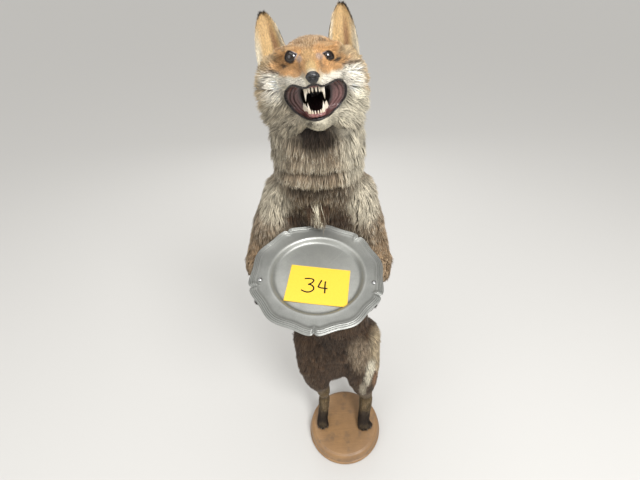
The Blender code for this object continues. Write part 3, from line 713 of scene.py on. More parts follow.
# The lips' edge in the head's frame, from the middle of the upper lip round by the fox's left.
mouthPoints = ((0, -72, 2.5), (8, -69, -0.5), (15, -62, -2.0), (21, -54, -1.0), (29, -44, 0.0),
               (37, -32, -4.5), (43.5, -23, -13.5), (45, -21, -24), (39, -21, -33.5), (26, -26, -41),
               (12, -44, -44.5), (0, -50, -46), (-13, -42, -44.5), (-27, -25, -39), (-36.5, -22, -30),
               (-39, -22, -17), (-31, -42, -3.5), (-24, -52, 0.5), (-16, -62, -1.0), (-8, -70, -0.5))

# Folds across the front of the neck: height and reach in mm, and how far each stands out.
neckFolds = ((837, 8, 2.6), (824, 6, -2.6), (810, 8, 1.8), (794, 8, -3.0), (772, 12, 1.6))
# How far the skin moves, in mm: out at the neck and the tail's end, in at the tail's middle and the knees.
bodyChanges = {"neck": 5.0, "tailEnd": 8.0, "tailMiddle": 5.0, "kneeRight": 10.0, "kneeLeft": 3.0}


def insetBody():
    s, r = bodyChanges, bodyRanges
    points = bodyPoints / mm
    depth, height = points[:, 1], points[:, 2]
    normals = vertexNormals(bodyPoints, bodyTriangles)
    front = smoothStep(*r["throatFront"], depth)
    slant = 0.05 * (points[:, 0] + 50)
    fold = sum(high * np.exp(-((height - z - slant) / reach) ** 2) for z, reach, high in neckFolds)
    shift = fold * front - bodyValues[:, 2] - s["tailMiddle"] * smoothStep(*r["tailMiddle"], depth)
    wide = smoothStep(*r["neckFoot"], height) * smoothStep(*r["neckTop"], height)
    wide *= ~belongs(bodyOwners, "head", "lower_jaw")
    shift += spread(s["neck"] * wide * smoothStep(0.35, 0.8, np.abs(normals[:, 0])), bodyTriangles, 4)
    shift += belongs(bodyOwners, "tail", "tail_tip") * s["tailEnd"] * smoothStep(*r["tailEnd"], height)
    knee = belongs(bodyOwners, "thigh", "shank") * smoothStep(*r["kneeFront"], depth)
    knee *= smoothStep(*r["kneeTop"], height) * smoothStep(*r["kneeFoot"], height)
    shift -= spread(knee, bodyTriangles, 4) * np.where(points[:, 0] < -10, s["kneeRight"], s["kneeLeft"])
    return (points + normals * shift[:, None]) * mm


def insetHead():
    return headPoints - vertexNormals(headPoints, headTriangles) * headValues[:, 2:3] * mm


# Whether each point falls within a closed outline of x and z.
def inside(loop, points):
    hits = np.zeros(len(points), bool)
    for (x0, z0), (x1, z1) in zip(loop, np.roll(loop, -1, 0)):
        crosses = (z0 > points[:, 1]) != (z1 > points[:, 1])
        if z0 != z1:
            hits ^= crosses & (points[:, 0] < (x1 - x0) * (points[:, 1] - z0) / (z1 - z0) + x0)
    return hits


def treeOf(points, triangles):
    return BVHTree.FromPolygons(points.tolist(), triangles.tolist())


# The nearest places on a form to the given spots, all in the head's frame.
def onSkin(tree, headSpots):
    world = fromHead(headSpots)
    found = np.array([tuple(tree.find_nearest(Vector(spot))[0]) for spot in world])
    return toHead(found)


bodySkin = insetBody()
headSkin = insetHead()
bodyNormals = vertexNormals(bodySkin, bodyTriangles)
headNormals = vertexNormals(headSkin, headTriangles)
headTree = treeOf(headSkin, headTriangles)
bodyTree = treeOf(bodySkin, bodyTriangles)
lipSteps = mouthSettings["steps"]
lipLoop = spread(onSkin(headTree, closedCurve(mouthPoints, lipSteps)),
                 np.array([(step, (step + 1) % lipSteps, step) for step in range(lipSteps)]), 2)

eyeSettings = {"radius": 9.2, "back": 1.8, "halfWidth": 46.0, "halfHeight": {"right": 39.0, "left": 26.0},
               "tilt": {"right": 20.0, "left": 24.0}, "outward": 0.42, "up": 0.30, "lid": 1.2}


# Forward, across towards the outer corner, and up, for one eye.
def eyeAxes(side):
    sign = signs[side]
    forward = unit(np.array((sign * eyeSettings["outward"], -1.0, eyeSettings["up"])))
    across = unit(np.cross(forward, (0, 0, 1))) * -sign
    across = across if across[0] * sign > 0 else -across
    up = np.cross(forward, across)
    up = up if up[2] > 0 else -up
    tilt = math.radians(eyeSettings["tilt"][side])
    cosine, sine = math.cos(tilt), math.sin(tilt)
    return forward, across * cosine - up * sine, up * cosine + across * sine


eyeMiddles = {}
for side in signs:
    low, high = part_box("eye_" + side)
    eyeMiddles[side] = toHead(np.array((low + high) / 2)[None])[0] - eyeAxes(side)[0] * eyeSettings["back"]


# How far round the eye the lids' edge is, across and up, in radians. The opening is wider by some degrees.
def eyeOpening(side, turn, wider=0.0, bare=0.0):
    across = math.radians(eyeSettings["halfWidth"] + wider) * np.cos(turn)
    high = math.radians(eyeSettings["halfHeight"][side] + wider)
    up = high * np.sin(turn) * (1.0 - 0.25 * np.cos(turn) ** 2)
    inner = np.clip(-np.cos(turn), 0, 1) ** 4
    return across - math.radians(8.0 + bare) * inner, up * (1.0 - 0.35 * inner) - 0.05 * inner


# Hollow the skin behind each eye's opening and raise it smoothly over the rest of the ball.
def sinkSockets(skin):
    points = toHead(skin)
    ball = eyeSettings["radius"]
    for side, middle in eyeMiddles.items():
        forward, across, up = eyeAxes(side)
        for number in range(10):
            offset = points - middle
            distance = np.linalg.norm(offset, axis=1)
            direction = offset / distance[:, None]
            facing = direction @ forward
            wide = np.arctan2(direction @ across, facing) / math.radians(eyeSettings["halfWidth"])
            high = np.arctan2(direction @ up, facing) / math.radians(eyeSettings["halfHeight"][side])
            share = np.hypot(wide, high)
            near = (facing > -0.3) & (distance < 26.0)
            raised = np.maximum(distance, (ball + eyeSettings["lid"]) * smoothStep(-0.6, -0.1, facing))
            opened = 1.0 - smoothStep(1.10, 1.30, share)
            wanted = raised * (1 - opened) + np.minimum(distance, ball - 1.0) * opened
            points[near] = (middle + direction * wanted[:, None])[near]
            if number < 9:
                softer = spread(points, headTriangles, 1)
                points[near] = softer[near]
        headValues[near & (share < 1.22), 3] = 0
        headValues[near, 0] *= 0.6 + 0.4 * smoothStep(1.2, 2.2, share[near])
    return fromHead(points)


headSkin = sinkSockets(headSkin)
headTree = treeOf(headSkin, headTriangles)
inHead = toHead(headSkin)
inMouth = inside(lipLoop[:, ::2], inHead[:, ::2]) & (inHead[:, 1] < 14.0)
edgeDistance = np.min(np.linalg.norm(inHead[:, None, :] - lipLoop[None, ::4], axis=2), axis=1)


# Where the head's skin meets the body's, in mm: the height that this starts from, how deep a point is
# buried and how far that is looked for, how near two skins are one, and how far the body's then sinks.
seamSettings = {"from": 860.0, "buried": 2.0, "search": 80.0, "near": 9.0, "sunk": 2.5}


# Whether each point lies well inside another closed form.
def buried(points, tree):
    result = np.zeros(len(points), bool)
    for index, point in enumerate(points.tolist()):
        place, normal, _, distance = tree.find_nearest(point, seamSettings["search"] * mm)
        if place is not None and distance > seamSettings["buried"] * mm:
            result[index] = (Vector(point) - place).dot(normal) < 0
    return result


bodyBuried = np.zeros(len(bodySkin), bool)
top = bodySkin[:, 2] > seamSettings["from"] * mm
bodyBuried[top] = buried(bodySkin[top], headTree)
headBuried = buried(headSkin, bodyTree)
bodyInHead = toHead(bodySkin)
bodyInMouth = inside(lipLoop[:, ::2], bodyInHead[:, ::2]) & (np.abs(bodyInHead[:, 1] + 30) < 46.0)
bodyHidden = bodyBuried | bodyInMouth
doubled = belongs(bodyOwners, "head", "lower_jaw") & top
nearness = [headTree.find_nearest(point)[3] for point in bodySkin[doubled].tolist()]
doubled[doubled] = np.array(nearness) < seamSettings["near"] * mm
bodyValues[bodyHidden | doubled, 3] = 0
for index in np.nonzero(doubled)[0]:
    place, normal, _, _ = headTree.find_nearest(bodySkin[index].tolist())
    if (Vector(bodySkin[index]) - place).dot(normal) > -seamSettings["buried"] * mm:
        bodySkin[index] = place - normal * seamSettings["sunk"] * mm
headValues[headBuried | inMouth | (edgeDistance < 1.6), 3] = 0
headX, headY, headZ = inHead.T
underLip = (np.abs(headX) < 14) & (headZ < -36) & (edgeDistance < 6) & (headZ > lipLoop[:, 2].min())
muzzleRoof = (headZ < 2.5) & (headZ > -8) & (np.abs(headX) < 30) & (headNormals @ headTurn[:, 2] < -0.6)
headValues[underLip | (muzzleRoof & (headY > -70)), 3] = 0
print("skin", len(headSkin) + len(bodySkin))


earSettings = {"foot": (46.0, 4.0, 16.0), "tip": (50.5, 20.0, 76.0), "halfWidth": 19.0, "cup": 14.0,
               "thickness": 1.5, "rows": 34, "columns": 26, "curl": 5.0, "furInside": 4.5, "furBack": 4.5,
               # Where across each ear the painted shade in its hollow lies.
               "hollowShade": {"right": -0.35, "left": 0.3},
               "blackFrom": {"right": (0.84, 0.9), "left": (0.5, 0.75)}}


# Inner and outer surfaces of an ear as grids of points, in the head's frame.
def earGrid(side):
    s = earSettings
    sign = signs[side]
    foot = np.array((s["foot"][0] * sign, *s["foot"][1:]))
    tip = np.array((s["tip"][0] * sign, *s["tip"][1:]))
    t = np.linspace(0, 0.985, s["rows"])[:, None]
    across = np.linspace(-1, 1, s["columns"])[None]
    width = s["halfWidth"] * np.maximum(0.06, (1 - t ** 2.4) ** 0.75)
    cup = s["cup"] * (1 - 0.75 * t)
    grid = foot + (tip - foot) * t[..., None]
    grid = np.repeat(grid, s["columns"], 1)
    grid[..., 0] += across * width
    grid[..., 1] += cup * (1 - across ** 2) - 0.4 * cup
    grid[..., 2] += -across * sign * s["curl"] * (1 - t)
    edge = np.abs(across) ** 3
    grid[..., 1] -= edge * 1.2 * (1 - t)
    return grid, t + 0 * across, across + 0 * t


# An ear's skin: points, triangles, and how its coat grows.
def makeEar(side):
    s = earSettings
    grid, t, across = earGrid(side)
    rows, columns = t.shape
    flat = grid.reshape(-1, 3)
    cells = np.arange(rows * columns).reshape(rows, columns)
    a, b, c, d = (part.ravel() for part in (cells[:-1, :-1], cells[:-1, 1:], cells[1:, 1:], cells[1:, :-1]))
    front = np.concatenate([np.stack([a, b, c], 1), np.stack([a, c, d], 1)])
    normals = vertexNormals(flat, front)
    if normals[:, 1].mean() > 0:
        front = front[:, ::-1]
        normals = -normals
    back = flat - normals * s["thickness"]
    size = len(flat)
    rim = []
    edges = np.concatenate([cells[:, 0], cells[-1, 1:], cells[::-1, -1][1:]])
    for first, second in zip(edges, edges[1:]):
        rim += [(first, second, second + size), (first, second + size, first + size)]
    triangles = np.concatenate([front, front[:, ::-1] + size, np.array(rim)])
    points = np.concatenate([flat, back])
    t, across = np.tile(t.ravel(), 2), np.tile(across.ravel(), 2)
    outer = np.concatenate([np.zeros(size), np.ones(size)])
    sign = signs[side]
    edge = smoothStep(0.62, 0.95, np.abs(across))
    outside = across * sign
    inward = edge * (across * sign < 0) * smoothStep(0.85, 0.45, t)
    length = np.where(outer > 0, s["furBack"], s["furInside"] + 1.5 * edge + 7.0 * inward) * (1.0 - 0.4 * t)
    density = np.where(outer > 0, 90, 120) - 60 * inward
    values = np.stack([length, 0.55 + 0.25 * inward, 0.8 + 0.8 * edge, density, 0.15 + 0.3 * edge], 1)
    along = np.zeros((len(points), 3))
    along[:, 2] = 1.0
    along[:, 0] = 0.35 * np.sign(across) * edge - 0.9 * np.sign(across) * inward
    colour = np.tile(tones["paleOrange"], (len(points), 1))

    def blend(tone, share):
        colour[:] = mixTones(colour, tones[tone], share[:, None])

    blend("golden", smoothStep(0.8, 0.1, t) * 0.5)
    # A darker reddish band down the ear's hollow: painted shade in the recess.
    hollowShade = smoothStep(0.34, 0.05, np.abs(outside - s["hollowShade"][side])) * smoothStep(0.95, 0.4, t)
    blend("reddish", hollowShade * (1 - outer) * 0.85)
    blend("cream", smoothStep(0.5, 0.9, outside) * smoothStep(0.85, 0.3, t) * (1 - outer) * 0.85)
    blend("dark", outer * smoothStep(0.15, 0.5, t))
    blend("cream", smoothStep(0.6, 0.95, -outside) * smoothStep(0.9, 0.5, t) * (1 - outer) * 0.6)
    blend("black", smoothStep(0.86, 0.97, outside) * smoothStep(*s["blackFrom"][side], t) * (1 - outer))
    blend("black", smoothStep(0.92, 0.98, t))
    world = fromHead(points)
    return world, triangles, values, along @ headTurn.T, colour


ears = {side: makeEar(side) for side in signs}


# One skin under the whole coat, ears included.
def addSkin():
    mouth = inMouth[headTriangles].all(1)
    hidden = bodyHidden[bodyTriangles].all(1)
    # The skin is painted darker where the fur over it is longer: painted shade under the coat.
    bodyPaintedShade = 0.9 - 0.5 * smoothStep(5.0, 18.0, bodyValues[:, :1])
    headPaintedShade = 0.9 - 0.4 * smoothStep(7.0, 18.0, headValues[:, :1])
    parts = [(bodySkin, bodyTriangles[~hidden], bodyColour * bodyPaintedShade),
             (headSkin, headTriangles[~mouth], headColour * headPaintedShade)]
    parts += [(ear[0], ear[1], ear[4]) for ear in ears.values()]
    points, triangles, colours, start = [], [], [], 0
    for partPoints, partTriangles, colour in parts:
        points.append(partPoints)
        triangles.append(partTriangles + start)
        colours.append(colour)
        start += len(partPoints)
    mesh = fastMesh("skin", np.concatenate(points), np.concatenate(triangles))
    paintMesh(mesh, "marking", np.concatenate(colours))
    return addPiece("skin", mesh, skinMaterial, slot="coat", replaced=[*fleshNodes, "ear_right", "ear_left"])


addSkin()
print("skin added")


# The depth of a root in mm, how much hairs differ, and how locks of about 8 mm gather, differ and shade.
coatSettings = {"root": 0.6, "heights": (0.55, 1.0), "lengths": (0.7, 1.2), "widths": (0.75, 1.25),
                "curl": 0.10, "sway": 0.17, "clump": 0.3, "loose": 16.0, "stiffest": 0.45,
                "sternumSway": 0.25, "patch": 0.003, "limit": 195000, "shortest": 9.0, "lock": 8.0,
                "lockHeights": (0.7, 1.2), "gather": 0.6, "gatherFull": 20.0, "gatherMost": 0.4,
                "thickness": 0.3, "lockShade": 0.18, "strandShade": 0.14, "shortEvenness": 0.25, "bands": 24}


# Scatter roots over a surface at its own density, with all that grows there.
def takeRoots(points, triangles, normals, values, flow, colour, seed, keep=None):
    rng = np.random.default_rng(seed)
    corners = points[triangles]
    across = np.cross(corners[:, 1] - corners[:, 0], corners[:, 2] - corners[:, 0])
    area = np.linalg.norm(across, axis=1) / 2 * 1e4   # in square centimetres
    share = area * values[triangles, 3].mean(1)
    if keep is not None:
        share = share * keep[triangles].all(1)
    total = share.sum()
    count = int(total)
    picked = np.searchsorted(np.cumsum(share), (np.arange(count) + rng.random(count)) * total / count)
    picked = np.minimum(picked, len(triangles) - 1)
    first, second = rng.random(count), rng.random(count)
    over = first + second > 1
    first[over], second[over] = 1 - first[over], 1 - second[over]
    weights = np.stack([1 - first - second, first, second], 1)[..., None]
    verts = triangles[picked]
    fields = [(field[verts] * weights).sum(1) for field in (points, normals, values, flow, colour)]
    fields[1] = unit(fields[1])
    return fields


# Whether each tuft's line stays out of the hard parts.
def clears(starts, ends, trees):
    free = np.ones(len(starts), bool)
    for tree, low, high in trees:
        near = ((starts > low - 0.04) & (starts < high + 0.04)).all(1)
        for index in np.nonzero(near)[0]:
            start = Vector(starts[index])
            step = Vector(ends[index]) - start
            if tree.ray_cast(start, step, step.length * 1.05)[0] is not None:
                free[index] = False
    return free


def hardTrees():
    trees = []
    for node in ("plate", "base_disc"):
        points, triangles = arraysOf(nodes[node].data)
        trees.append((treeOf(points, triangles), points.min(0), points.max(0)))
    return trees


hardParts = hardTrees()


# Each root's place on the region's own surface, unrolled round its length.
def unwrapped(roots):
    low, high = roots.min(0), roots.max(0)
    along = (roots[:, 2] - low[2]) / max(high[2] - low[2], 1e-6)
    count = coatSettings["bands"]
    bands = np.clip((along * count).astype(int), 0, count - 1)
    middles = np.array([roots[bands == band, :2].mean(0) if (bands == band).any() else roots[:, :2].mean(0)
                        for band in range(count)])
    offset = roots[:, :2] - middles[bands]
    turn = (np.arctan2(offset[:, 0], -offset[:, 1]) / (2 * np.pi) + 0.5) % 1.0
    return 0.01 + 0.975 * np.stack([turn, along], 1)


hairShapes = {
    "long": {"along": (0, 0, 0, 0.42, 0.42, 0.42, 1), "sizes": (0.6, 1.0, 0.0),
             "spots": [(0, 0), (1, 0), (0.5, 0), (0, 0.42), (1, 0.42), (0.5, 0.42), (0.5, 1)],
             "faces": [(0, 2, 1), (0, 1, 4), (0, 4, 3), (1, 2, 5), (1, 5, 4), (2, 0, 3), (2, 3, 5),
                       (3, 4, 6), (4, 5, 6), (5, 3, 6)]},
    "short": {"along": (0, 0, 0, 1), "sizes": (1.0, 0.0), "spots": [(0, 0), (1, 0), (0.5, 0), (0.5, 1)],
              "faces": [(0, 2, 1), (0, 1, 3), (1, 2, 3), (2, 0, 3)]},
}


# Which lock of hair each root belongs to: uneven cells about as wide as the given size.
def lockOf(roots, size, seed):
    waves = np.stack([wander(roots / mm, size * 0.8, seed + axis) for axis in range(3)], 1)
    bent = roots / mm + waves * size * 0.9
    cells = np.floor(bent / (size, size, size * 1.8)).astype(np.int64)
    _, lock = np.unique(cells @ (1, 4096, 4096 * 4096), return_inverse=True)
    return lock.ravel()


# How far each tip is drawn towards the middle of its lock, over the skin.
def gathered(tips, normals, values, length, lock, members):
    s = coatSettings
    gather = np.stack([np.bincount(lock, tips[:, axis]) / members for axis in range(3)], 1)[lock] - tips
    gather -= normals * (gather * normals).sum(1, keepdims=True)
    gather *= s["gather"] * np.clip(values[:, :1] / s["gatherFull"], 0, 1)
    pull = np.linalg.norm(gather, axis=1, keepdims=True)
    return gather * np.minimum(1.0, s["gatherMost"] * length[:, None] / np.maximum(pull, 1e-6))


# The points of every tuft, and the directions that shade them.
def tuftPoints(shape, roots, along, across, normals, length, width, height, curl, gather):
    s = coatSettings
    points = np.empty((len(roots), len(shape["along"]), 3))
    shading = np.empty_like(points)
    for index, size in enumerate(shape["sizes"]):
        q = shape["along"][index * 3]
        rise = height * (1 - (1 - q) ** 2) + s["root"] * mm * min(q * 2, 1)
        centre = roots + along * (length * q)[:, None] + normals * rise[:, None]
        centre += across * (curl * q * q)[:, None]
        centre += gather * q ** 1.5
        if size == 0:
            points[:, -1] = centre
            shading[:, -1] = normals + along * 0.3
            continue
        half = across * (width * size / 2)[:, None]
        points[:, index * 3] = centre - half
        points[:, index * 3 + 1] = centre + half
        points[:, index * 3 + 2] = centre + normals * (width * size * s["thickness"])[:, None]
        shading[:, index * 3] = normals * 0.8 - across * 0.6
        shading[:, index * 3 + 1] = normals * 0.8 + across * 0.6
        shading[:, index * 3 + 2] = normals
    return points, shading


# A joined mesh of closed, tapering tufts that lie along the flow.
def addTufts(name, fields, seed, kind):
    roots, normals, values, flow, colour = fields
    shape = hairShapes[kind]
    each = len(shape["along"])
    rng = np.random.default_rng(seed)
    s = coatSettings
    count = len(roots)
    along = unit(flow - normals * (flow * normals).sum(1, keepdims=True))
    across = np.cross(normals, along)
    loose = np.clip(values[:, 0] / s["loose"], s["stiffest"], 1.0)
    swing = rng.normal(0, s["sway"], count) + s["clump"] * wander(roots / mm, 11.0, 3)
    swing += 0.5 * s["clump"] * wander(roots / mm, 4.0, 9)
    swing *= loose * (s["sternumSway"] if "sternum" in name else 1.0)
    along = along * np.cos(swing)[:, None] + across * np.sin(swing)[:, None]
    across = np.cross(normals, along)
    length = values[:, 0] * rng.uniform(*s["lengths"], count) * mm
    width = values[:, 1] * rng.uniform(*s["widths"], count) * mm
    height = values[:, 2] * rng.uniform(*s["heights"], count) * mm
    curl = rng.normal(0, s["curl"], count) * length
    roots = roots - normals * s["root"] * mm
    lock = lockOf(roots, s["lock"], 31)
    members = np.maximum(np.bincount(lock), 1)
    height *= np.random.default_rng(8).uniform(*s["lockHeights"], len(members))[lock]
    tips = roots + along * length[:, None] + normals * height[:, None]
    gather = gathered(tips, normals, values, length, lock, members)
    points, shading = tuftPoints(shape, roots, along, across, normals, length, width, height, curl, gather)
    free = clears(points[:, 0], points[:, -1], hardParts)
    even = s["shortEvenness"] * (values[:, 0] < s["shortest"])
    shade = np.random.default_rng(4).normal(1.0, s["lockShade"], len(members))[lock] * (1.0 - even) + even
    kept = (part[free] for part in (points, shading, colour, values, roots, shade))
    points, shading, colour, values, roots, shade = kept
    count = len(points)
    triangles = (np.arange(count)[:, None, None] * each + np.array(shape["faces"])).reshape(-1, 3)
    mesh = fastMesh(name, points.reshape(-1, 3), triangles)
    tone = np.clip(colour * shade[:, None] * rng.normal(1.0, s["strandShade"], (count, 1)), 0, 1)
    paintMesh(mesh, "marking", np.repeat(tone, each, 0))
    chance, grizzle = rng.random(count), np.clip(values[:, 4], 0, 1)
    paintMesh(mesh, "strand", np.column_stack([np.tile(shape["along"], count), np.repeat(chance, each),
                                               np.repeat(grizzle, each)]))
    spots = unwrapped(roots)[:, None] + s["patch"] * np.array(shape["spots"])
    layer = mesh.uv_layers.new(name="OFBake")
    layer.data.foreach_set("uv", spots.reshape(-1, 2)[triangles.ravel()].astype(np.float32).ravel())
    mesh.polygons.foreach_set("use_smooth", [True] * len(mesh.polygons))
    mesh.normals_split_custom_set_from_vertices(unit(shading).reshape(-1, 3))
    addPiece(name, mesh, coatMaterial, slot="coat", smooth=False)
    return count


sternumSettings = {"middle": (-52.0, -20.0, 752.0), "reach": (21.0, 30.0, 17.0), "hairs": 980,
                   "tip": (-45.0, -25.0, 707.0)}


# Long hair that hangs from the breastbone over the plate's rim and gathers to a point.
def sternumRoots():
    s = sternumSettings
    rng = np.random.default_rng(77)
    offset = np.abs((bodySkin / mm - s["middle"]) / s["reach"])
    near = np.nonzero((offset < 1).all(1) & (bodyNormals[:, 1] < 0))[0]
    picked = rng.choice(near, s["hairs"])
    roots = bodySkin[picked] + rng.normal(0, 1.6 * mm, (len(picked), 3))
    reach = np.array(s["tip"]) + rng.normal(0, 1.0, (len(picked), 3)) * (4.5, 1.0, 4.0) - roots / mm
    fall = unit(reach)
    normals = unit(np.array((0, -1.0, 0.24)) - fall * (fall @ (0, -1.0, 0.24))[:, None])
    values = np.tile((1.0, 1.2, 5.0, 0.0, 0.35), (len(picked), 1))
    values[:, 0] = np.linalg.norm(reach, axis=1) * rng.uniform(0.4, 0.9, len(picked))
    pale = (rng.random((len(picked), 1)) < 0.8) * (np.abs(roots[:, :1] / mm - s["middle"][0] + 3.0) < 9.0)
    colour = mixTones(tones["brown"], tones["cream"], pale)
    return [roots, normals, values, fall, colour]


def addCoat():
    total = 0
    regions = {"neck": ["neck"], "chest": ["chest"], "belly": ["belly"], "hips": ["hips"],
               "tail": ["tail", "tail_tip"], "throat": ["lower_jaw", "head"]}
    for side in signs:
        regions["arm_" + side] = [part + "_" + side for part in armParts]
        regions["leg_" + side] = [part + "_" + side for part in legParts]
    jobs = []
    for name, members in regions.items():
        fields = bodySkin, bodyTriangles, bodyNormals, bodyValues, bodyFlow, bodyColour
        jobs.append((name, takeRoots(*fields, 40 + len(jobs), belongs(bodyOwners, *members))))
    jobs.append(("head", takeRoots(headSkin, headTriangles, headNormals, headValues,
                                   headFlow, headColour, 7)))
    for side, (points, triangles, values, flow, colour) in ears.items():
        normals = vertexNormals(points, triangles)
        jobs.append(("ear_" + side, takeRoots(points, triangles, normals, values, flow, colour, 60)))
    jobs.append(("sternum", sternumRoots()))
    for number, (name, fields) in enumerate(jobs):
        short = fields[2][:, 0] < coatSettings["shortest"]
        for kind, picked in (("long", np.nonzero(~short)[0]), ("short", np.nonzero(short)[0])):
            if not len(picked):
                continue
            faces = len(hairShapes[kind]["faces"])
            order = picked[np.argsort(fields[0][picked, 1])]
            chunks = math.ceil(len(order) * faces / coatSettings["limit"])
            for index, part in enumerate(np.array_split(order, chunks)):
                label = "_".join(["coat", name, kind] + ([str(index + 1)] if chunks > 1 else []))
                total += faces * addTufts(label, [field[part] for field in fields],
                                          100 + number * 9 + index, kind)
    print("coat triangles", total)


addCoat()


def makeMouthMaterial():
    material, tree, shader = addMaterial("mouthLining", Specular_IOR_Level=0.6, Coat_Weight=0.5,
                                         Coat_Roughness=0.12)
    surface = useGroup(tree, grain, Scale=420.0, Depth=0.0006)
    mask = surface.outputs["Mask"]
    colour = scaled(tree, markingOf(tree), ranged(tree, mask, 0.75, 1.2))
    feed(tree, shader, colour, ranged(tree, mask, 0.28, 0.45), surface.outputs["Normal"])
    return material


# The fold tone is painted shade in the lining's creases, and the throat tone is painted shade deep in the
# mouth.
mouthTones = {"lobe": (0.18, 0.088, 0.082), "fold": (0.035, 0.014, 0.014), "palate": (0.12, 0.045, 0.042),
              "throat": (0.006, 0.002, 0.002), "edge": (0.03, 0.02, 0.02)}
lipMaterial = makeSimple("blackLip", (0.008, 0.006, 0.006), (0.035, 0.027, 0.027), 500.0, 0.0006, (0.2, 0.4))
toothMaterial = makeSimple("tooth", (0.60, 0.50, 0.36), (0.80, 0.74, 0.64), 120.0, 0.0002, (0.12, 0.3))
gumMaterial = makeSimple("gum", (0.14, 0.05, 0.05), (0.33, 0.15, 0.14), 300.0, 0.0005, (0.12, 0.28))


# The soft lining from the lips to the throat, with loose folds in both corners.
def addLining():
    s = mouthSettings
    cheeks = s["cheekShare"]
    shares = np.concatenate([np.linspace(0, cheeks, 30), np.linspace(cheeks + 0.03, 1.0, 14)])
    fromMiddle = lipLoop - mouthMiddle
    arch = mouthMiddle + fromMiddle * (s["archWidth"], 0, s["archHeight"])
    arch[:, 1] = s["archBack"]
    throat = mouthMiddle + fromMiddle * (0.2, 0, 0.42)
    throat[:, 1] = s["throatBack"]
    turn = np.arctan2(fromMiddle[:, 2] * 2.0, fromMiddle[:, 0])
    lobe = smoothStep(0.25, 0.75, np.abs(np.cos(turn)))
    left = fromMiddle[:, 0] < 0   # as seen from the front
    rings, ringTones = [], []
    for share in shares:
        if share <= cheeks:
            t = share / cheeks
            ring = lipLoop + (arch - lipLoop) * t
            ring[:, 1] += 0.9 + 2.0 * np.sin(np.pi * t) * lobe
            amount = np.where(left, 1.0, 0.75) * lobe * np.sin(np.pi * min(t * 1.15, 1.0))
            bent = t + 0.16 * np.sin(turn * 2.0 + np.where(left, 0.7, 2.0))
            wave = np.sin(2 * np.pi * s["folds"] * bent + np.where(left, 0, 1.3))
            crease = np.exp(-((wave + 1) / 0.5) ** 2)
            ring[:, 1] += s["foldDepth"] * amount * (crease * 1.6 - 0.5)
            colour = mixTones(mouthTones["palate"], mouthTones["lobe"], lobe[:, None])
            # Painted shade in the creases of the folds.
            colour = mixTones(colour, mouthTones["fold"], 0.85 * (crease * amount)[:, None])
            colour = mixTones(colour, mouthTones["edge"], smoothStep(0.26, 0.03, t))
            # Painted shade, darker towards the throat.
            colour = mixTones(colour, mouthTones["throat"], 0.85 * smoothStep(0.75, 1.0, t))
        else:
            t = (share - cheeks) / (1 - cheeks)
            ring = arch + (throat - arch) * (1 - (1 - t) ** 1.5)
            # The throat is painted near-black as shade.
            colour = np.tile(mouthTones["throat"], (len(ring), 1))
        rings.append(ring)
        ringTones.append(colour)
    shape = bmesh.new()
    skinned(shape, rings, capped=False)
    end = shape.verts.new(rings[-1].mean(0))
    shape.verts.ensure_lookup_table()
    last = [shape.verts[len(shape.verts) - 1 - len(lipLoop) + index] for index in range(len(lipLoop))]
    for index, vert in enumerate(last):
        shape.faces.new((vert, last[(index + 1) % len(last)], end))
    colours = np.concatenate([*ringTones, [mouthTones["throat"]]])
    points = np.array([vert.co for vert in shape.verts])
    for vert, place in zip(shape.verts, fromHead(points)):
        vert.co = place
    mesh = meshOf(shape, "mouth_lining")
    mesh.flip_normals()
    paintMesh(mesh, "marking", colours)
    addPiece("mouth_lining", mesh, makeMouthMaterial(), slot="face")


# The mesh of a bmesh made in the head's frame, in millimetres.
def headMesh(shape, name):
    bmesh.ops.recalc_face_normals(shape, faces=shape.faces)
    bmesh.ops.transform(shape, matrix=Matrix.Scale(mm, 4) @ headFrame, verts=shape.verts)
    return meshOf(shape, name)


def headPiece(name, shape, *materials, slot, replaced=()):
    return addPiece(name, headMesh(shape, name), *materials, slot=slot, replaced=replaced)


def addLips():
    shape = bmesh.new()
    radii = mouthSettings["lipRadius"] * (1.0 + 0.22 * wander(lipLoop, 5.0, 21))
    front = smoothStep(12.0, 4.0, np.abs(lipLoop[:, 0] - 0.5)) * (lipLoop[:, 2] < -20)
    tube(shape, lipLoop + np.array((0, -0.2, 0)), radii * (1.0 + 0.6 * front), sides=12, closed=True)
    headPiece("lips", shape, lipMaterial, slot="nose")


# Each row: half width and y at the arch's front and back, gum height, and the way its teeth point.
toothRows = {
    "upper": {"front": (10.6, -65.0), "back": (18.0, -20.0), "gum": -1.5, "bite": -1.0, "canine": (17.5, 2.5),
              "incisor": (6.4, 1.45), "cheek": (6.5, 2.7), "cad": "upper_teeth"},
    "lower": {"front": (8.8, -52.0), "back": (17.0, -14.0), "gum": -37.0, "bite": 1.0, "canine": (13.0, 2.3),
              "incisor": (4.2, 1.15), "cheek": (7.0, 2.6), "cad": "lower_teeth"},
}
# Where teeth stand along half an arch. A cheek tooth's place is given with its size.
toothSettings = {"incisors": (0.05, 0.15, 0.25), "canineShare": 0.36, "splay": (1.5, 2.0), "frontDepth": 6.0,
                 "cheekTeeth": ((0.50, 0.7), (0.62, 0.9), (0.75, 1.1), (0.88, 1.0)), "gumRadius": 2.5}


def toothArch(row, share):
    s = toothSettings
    (frontHalf, front), (backHalf, back) = row["front"], row["back"]
    part = abs(share)
    if part < s["canineShare"]:
        turn = 0.5 * math.pi * part / s["canineShare"]
        half, y = frontHalf * math.sin(turn), front + s["frontDepth"] * (1 - math.cos(turn))
    else:
        part = (part - s["canineShare"]) / (1 - s["canineShare"])
        half = frontHalf + (backHalf - frontHalf) * part
        y = front + s["frontDepth"] + (back - front - s["frontDepth"]) * part
    return np.array((math.copysign(half, share), y, row["gum"]))


